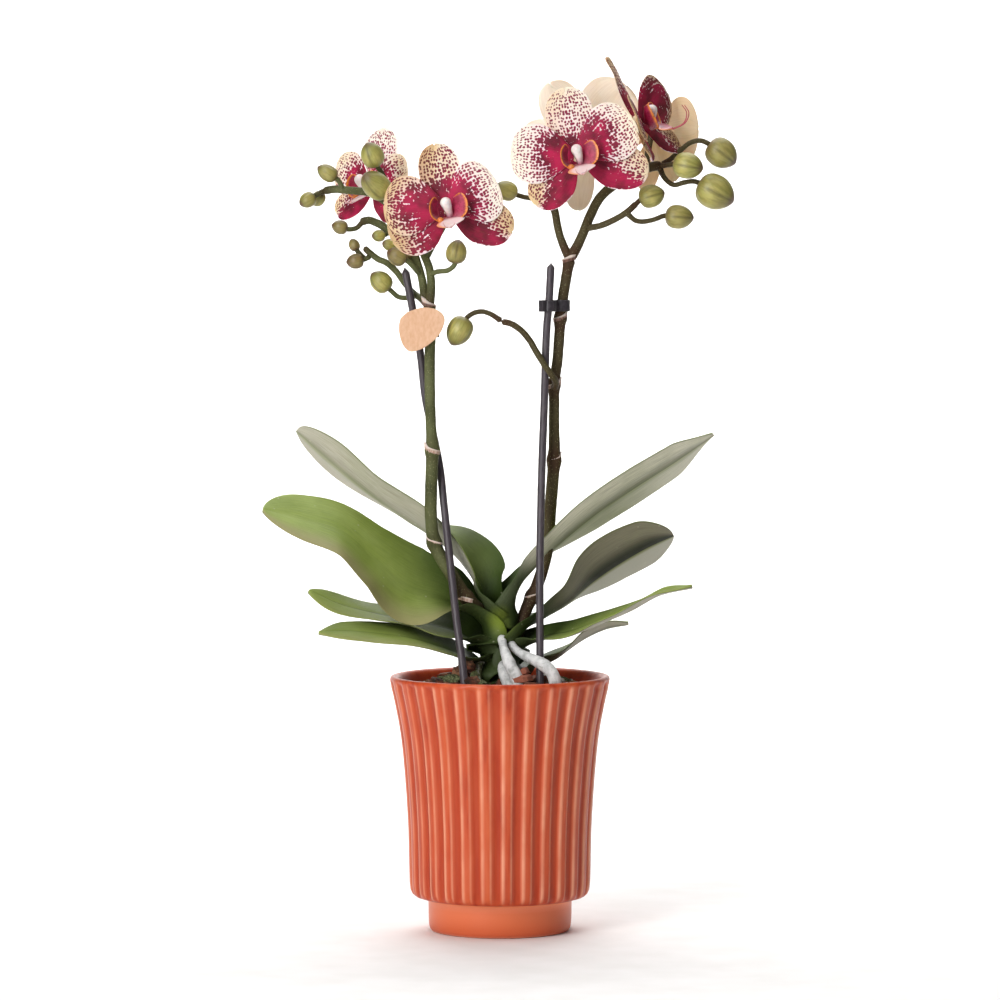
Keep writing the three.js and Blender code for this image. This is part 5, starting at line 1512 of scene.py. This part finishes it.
def tepal(bm, frame, spec, widest, lift, wave):
    """One petal or sepal: widest is where along it, as a share, it has its greatest width, and
    lift is how far it lies in front of the flower's middle, above 0 for a petal alone"""
    turn, length, width, lean, reach, half_side, warmth = spec
    centre, right, top, front = frame
    angle = math.radians(turn)
    along = top * math.cos(angle) + right * math.sin(angle)
    across = right * math.cos(angle) - top * math.sin(angle)
    slope = math.tan(math.radians(lean))
    petal = lift > 0
    dorsal = not petal and abs(turn) < 45
    notched = 0.09 if dorsal else 0.02
    phase = turn * 0.13
    rows = 0.5 * width / SPOT_SPACING[0]

    def section(s):
        """Across the tepal at step s: cupped, waved, frilled near its edge and notched at its tip"""
        t = CLAW + (1 - CLAW) * eased(s)
        half = 0.5 * width * tepal_half(t, widest)
        height = lift + length * t * slope - 0.08 * length * t * t

        def point(u):
            cup = -0.05 * half * u * u + wave * u * math.sin(7 * t)
            frill = 0.35 * abs(u) ** 3 * math.sin(11 * t + phase) * ramp(t, 0.3, 0.7)
            notch = 1 - notched * math.exp(-((u + 0.15) / 0.18) ** 2) * ramp(t, 0.8, 1)
            reached = centre + along * length * t * notch + across * half * u
            return reached + front * (height + cup + frill)

        return point

    def thickness(s, u):
        return 0.95 - 0.35 * u * u - 0.2 * s

    def marks(s, u, side):
        """How dense the spots are (1 is blotch), how tan the ground is and how pink"""
        t = CLAW + (1 - CLAW) * eased(s)
        if petal:
            edge = math.hypot(t / reach * 0.66, 0.85 * (u + 0.3 * half_side) * ramp(t, 0, 0.5))
            core = 1 - ramp(edge, 0.22, 1.08)
            dots = 0.34 - 0.12 * ramp(edge, 0.9, 1.5)
        elif half_side:
            edge = t / reach * 0.55 - 0.6 * half_side * u + 0.3
            core = 1 - ramp(edge, 0.3, 1.05)
            dots = 0.37 - 0.08 * abs(u)
        else:
            core = 1 - ramp(t / reach, 0.45, 1.3)
            dots = 0.36 + 0.08 * warmth - 0.1 * abs(u) ** 2 - 0.06 * t
        border = ramp(max(abs(u) * ramp(t, 0.1, 0.55), t), 0.93, 0.99)
        dense = (core + (1 - core) * dots) * (1 - 0.9 * border)
        pink = min(1, core * 1.6 + 0.6 * (1 - ramp(t, 0.4, 1.0)) * (1 - 0.65 * warmth))
        if side < 0:
            dense, pink = 0.0, 0.0
        warm = warmth * (0.35 + 0.65 * ramp(abs(u) + t, 0.4, 1.1)) if side > 0 else 0.6 * warmth
        if dorsal:
            warm *= 0.5 - 0.5 * u
        return (u * rows, length * t, side), (dense, warm, pink)

    blade(bm, 44, 34, section, thickness, marks)


def flowers_open(settings):
    material = petal_material(settings)
    for name, flower in FLOWERS.items():
        frame = flower_frame(flower)
        bm = new_mesh()
        heart = in_flower(frame, (0, 0, -0.6))
        form(bm, 20, 12, lambda t, turn: (
            (heart + 2.9 * sphere_way(t, turn)) * MM, Vector((0, 0, -1)), Vector((0, 0.3, 0))))
        wave = settings.wave / MM
        for sepal in flower["sepals"]:
            tepal(bm, frame, sepal, 0.55, -0.4, wave)
        for petal in flower["petals"]:
            tepal(bm, frame, petal, 0.62, 1.5, wave)
        add_piece(name + "_tepals", bm, material, [name], "petal")


def sphere_way(t, turn):
    """A direction from a ball's middle, t from pole to pole and turn round it"""
    if turn is None:
        return Vector((0, 0, 1 if t < 0.5 else -1))
    ring = math.sin(math.pi * t)
    return Vector((ring * math.cos(turn), ring * math.sin(turn), math.cos(math.pi * t)))


def columns():
    material = column_material()
    for name, flower in FLOWERS.items():
        frame = flower_frame(flower)
        right = frame[1]
        bm = new_mesh()
        path = [in_flower(frame, p) for p in COLUMN]

        def tone(point):
            return 1 - ramp((point - path[0]).length, 1.0, 6.0), 0, 0

        tube(bm, path, lambda t, point: along_list(COLUMN_RADII, t), around=32, spacing=0.3,
             tone=tone)
        tone_layer = bm.verts.layers.float_vector["tone"]
        for vert in bm.verts:
            point = vert.co / MM
            t, offset = nearest(path, point)
            sideways = offset.dot(right) / max(offset.length, 0.01)
            # Painted shade down the lower left side of the column, where the stigma's hollow lies
            line = ramp(-sideways, 0.45, 0.8) * (1 - ramp(t, 0.55, 0.75))
            vert[tone_layer] = Vector((vert[tone_layer].x, 0.8 * line, 0))
        add_piece(name + "_pillar", bm, material, [name + "_column"], "column")


def nearest(path, point):
    """How far along the path (0 to 1) the nearest of its points is, and the way from it"""
    steps = 24
    t = min((i / steps for i in range(steps + 1)), key=lambda t: (smooth(path, t) - point).length)
    return t, point - smooth(path, t)


def sheet(frame, rows):
    """A smooth surface through rows of points in a flower's own directions, round at its ends"""
    rows = [[in_flower(frame, p) for p in row] for row in rows]

    def section(t):
        end = min(t, 1 - t) / 0.12
        round_off = math.sqrt(max(0, 1 - (1 - end) ** 2)) if end < 1 else 1
        return lambda u: smooth([smooth(row, 0.5 + 0.5 * u * round_off) for row in rows], t)

    return section


def lips():
    material = lip_material()
    for name, flower in FLOWERS.items():
        frame = flower_frame(flower)
        bm = new_mesh()
        seen_sideways = name == "flower_right_side"
        pale = 0.1 if seen_sideways else 1

        def side_marks(t, u, side):
            rim = max(ramp(u, 0.55, 0.85), ramp(abs(2 * t - 1), 0.86, 0.97))
            return (u, t, side), (0.8, rim, 0.25 * ramp(t, 0.5, 0))

        def middle_marks(t, u, side):
            rim = 0.8 * ramp(-u, 0.55, 0.95)
            return (u, t, side), (0.5 * ramp(t, 0.5, 0.2), rim, pale * ramp(t, 0.15, 0.5))

        for rows in (LEFT_LOBE, RIGHT_LOBE):
            blade(bm, 36, 26, sheet(frame, rows), lambda t, u: 1.0 - 0.4 * abs(u), side_marks)
        blade(bm, 36, 30, sheet(frame, MIDDLE_LOBE), lambda t, u: 1.2 - 0.6 * abs(u), middle_marks)
        callus = in_flower(frame, (-2.6, -5.6, 8.2))
        _, right, top, front = frame

        def knob(t, turn):
            way = sphere_way(t, turn)
            spread = right * way.x * 1.5 + top * way.y * 1.3 + front * way.z * 1.4
            return (callus + spread) * MM, Vector((0, 0, 0)), Vector((0.2, 0.85, 0.2))

        form(bm, 18, 12, knob)
        reach = 3.6 if seen_sideways else 1
        for way in (-1, 1):
            tendril = [(1.6 + way * (0.5 + out), -9.2 + rise * reach, 13.8 + ahead * reach)
                       for out, rise, ahead in TENDRIL]
            tube(bm, [in_flower(frame, place) for place in tendril],
                 lambda t, point: 0.31 + 0.01 * reach - 0.16 * t, around=10, spacing=0.4,
                 tone=(0, 0.1, 0.6 * pale))
        add_piece(name + "_labellum", bm, material, [name + "_lip"], "lip")


# Stage

def stage(settings):
    bm = bmesh.new()
    bmesh.ops.create_grid(bm, x_segments=8, y_segments=60, size=1)
    for vert in bm.verts:
        run = SWEEP_MIDDLE + SWEEP_HALF_RUN * vert.co.y
        rise = 0
        if run > BEND_START:
            turn = min((run - BEND_START) / BEND_RADIUS, math.pi / 2)
            past_bend = max(0, run - BEND_START - BEND_RADIUS * math.pi / 2)
            rise = BEND_RADIUS * (1 - math.cos(turn)) + past_bend
            run = BEND_START + BEND_RADIUS * math.sin(turn)
        vert.co = (SWEEP_HALF_WIDTH * vert.co.x, run, rise)
    for face in bm.faces:
        face.smooth = True
    sweep = add_object("paper_sweep", bm, floor_material(settings))

    world = bpy.data.worlds.new("room")
    world.use_nodes = True
    background = world.node_tree.nodes["Background"]
    background.inputs["Color"].default_value = (1, 1, 1, 1)
    background.inputs["Strength"].default_value = settings.sky
    bpy.context.scene.world = world
    bpy.context.scene.view_settings.view_transform = "Standard"

    for name, (place, aim, size) in LIGHTS.items():
        lamp = bpy.data.lights.new(name, "AREA")
        lamp.shape = "RECTANGLE"
        lamp.size, lamp.size_y = size
        lamp.energy = getattr(settings, name.replace("_light", "_power"))
        light = bpy.data.objects.new(name, lamp)
        light.location = place
        way = Vector(aim) - light.location
        light.rotation_euler = way.to_track_quat("-Z", "Y").to_euler()
        bpy.context.scene.collection.objects.link(light)

    view = bpy.data.cameras.new("photo_camera")
    view.lens = LENS
    view.sensor_width = SENSOR_WIDTH
    camera = bpy.data.objects.new("photo_camera", view)
    camera.location = CAMERA_PLACE
    camera.rotation_euler = (math.radians(90 - CAMERA_TIP), 0, 0)
    bpy.context.scene.collection.objects.link(camera)
    bpy.context.scene.camera = camera


# Add-on

class ORCHID_OT_stage(bpy.types.Operator):
    """Set up the paper sweep, the lights and the camera"""
    bl_idname = "orchid.stage"
    bl_label = "Stage"

    def execute(self, context):
        stage(context.scene.orchid_stage)
        return {"FINISHED"}


class ORCHID_OT_pot(bpy.types.Operator):
    """Turn the fluted glazed pot and the clear nursery pot inside it"""
    bl_idname = "orchid.pot"
    bl_label = "Pots"

    def execute(self, context):
        pot(context.scene.orchid_pot)
        grow_pot()
        return {"FINISHED"}


class ORCHID_OT_bark(bpy.types.Operator):
    """Fill the pot with bark chips and perlite"""
    bl_idname = "orchid.bark"
    bl_label = "Bark"

    def execute(self, context):
        bark(context.scene.orchid_pot)
        return {"FINISHED"}


class ORCHID_OT_plant(bpy.types.Operator):
    """Grow the short stem, its aerial roots and its leaves"""
    bl_idname = "orchid.plant"
    bl_label = "Leaves and roots"

    def execute(self, context):
        crown()
        roots()
        leaves(context.scene.orchid_plant)
        return {"FINISHED"}


class ORCHID_OT_spikes(bpy.types.Operator):
    """Grow the two flower spikes with their joints, scales and buds"""
    bl_idname = "orchid.spikes"
    bl_label = "Flower spikes"

    def execute(self, context):
        spikes(context.scene.orchid_plant, context.scene.orchid_flowers)
        return {"FINISHED"}


class ORCHID_OT_supports(bpy.types.Operator):
    """Add the stakes, the clips and the bare tag"""
    bl_idname = "orchid.supports"
    bl_label = "Stakes, clips and tag"

    def execute(self, context):
        stakes()
        clips()
        tag()
        return {"FINISHED"}


class ORCHID_OT_flowers(bpy.types.Operator):
    """Open the six flowers: petals and sepals, columns and lips"""
    bl_idname = "orchid.flowers"
    bl_label = "Flowers"

    def execute(self, context):
        flowers_open(context.scene.orchid_flowers)
        columns()
        lips()
        return {"FINISHED"}


OPERATORS = (ORCHID_OT_stage, ORCHID_OT_pot, ORCHID_OT_bark, ORCHID_OT_plant, ORCHID_OT_spikes,
             ORCHID_OT_supports, ORCHID_OT_flowers)
SETTINGS = {"orchid_pot": PotSettings, "orchid_plant": PlantSettings,
            "orchid_flowers": FlowerSettings, "orchid_stage": StageSettings}


class ORCHID_PT_panel(bpy.types.Panel):
    """The orchid's sizes and colours, and the button of each piece"""
    bl_idname = "ORCHID_PT_panel"
    bl_label = "Potted moth orchid"
    bl_space_type = "VIEW_3D"
    bl_region_type = "UI"
    bl_category = "Orchid"

    def draw(self, context):
        for name in SETTINGS:
            settings = getattr(context.scene, name)
            for key in settings.__annotations__:
                self.layout.prop(settings, key)
        for operator in OPERATORS:
            self.layout.operator(operator.bl_idname)


def register():
    for each in (*SETTINGS.values(), *OPERATORS, ORCHID_PT_panel):
        bpy.utils.register_class(each)
    for name, group in SETTINGS.items():
        setattr(bpy.types.Scene, name, PointerProperty(type=group))


def unregister():
    for name in SETTINGS:
        delattr(bpy.types.Scene, name)
    for each in (ORCHID_PT_panel, *reversed(OPERATORS), *reversed(SETTINGS.values())):
        bpy.utils.unregister_class(each)


def main():
    register()
    for operator in OPERATORS:
        category, name = operator.bl_idname.split(".")
        getattr(getattr(bpy.ops, category), name)()


if __name__ == "__main__":
    main()
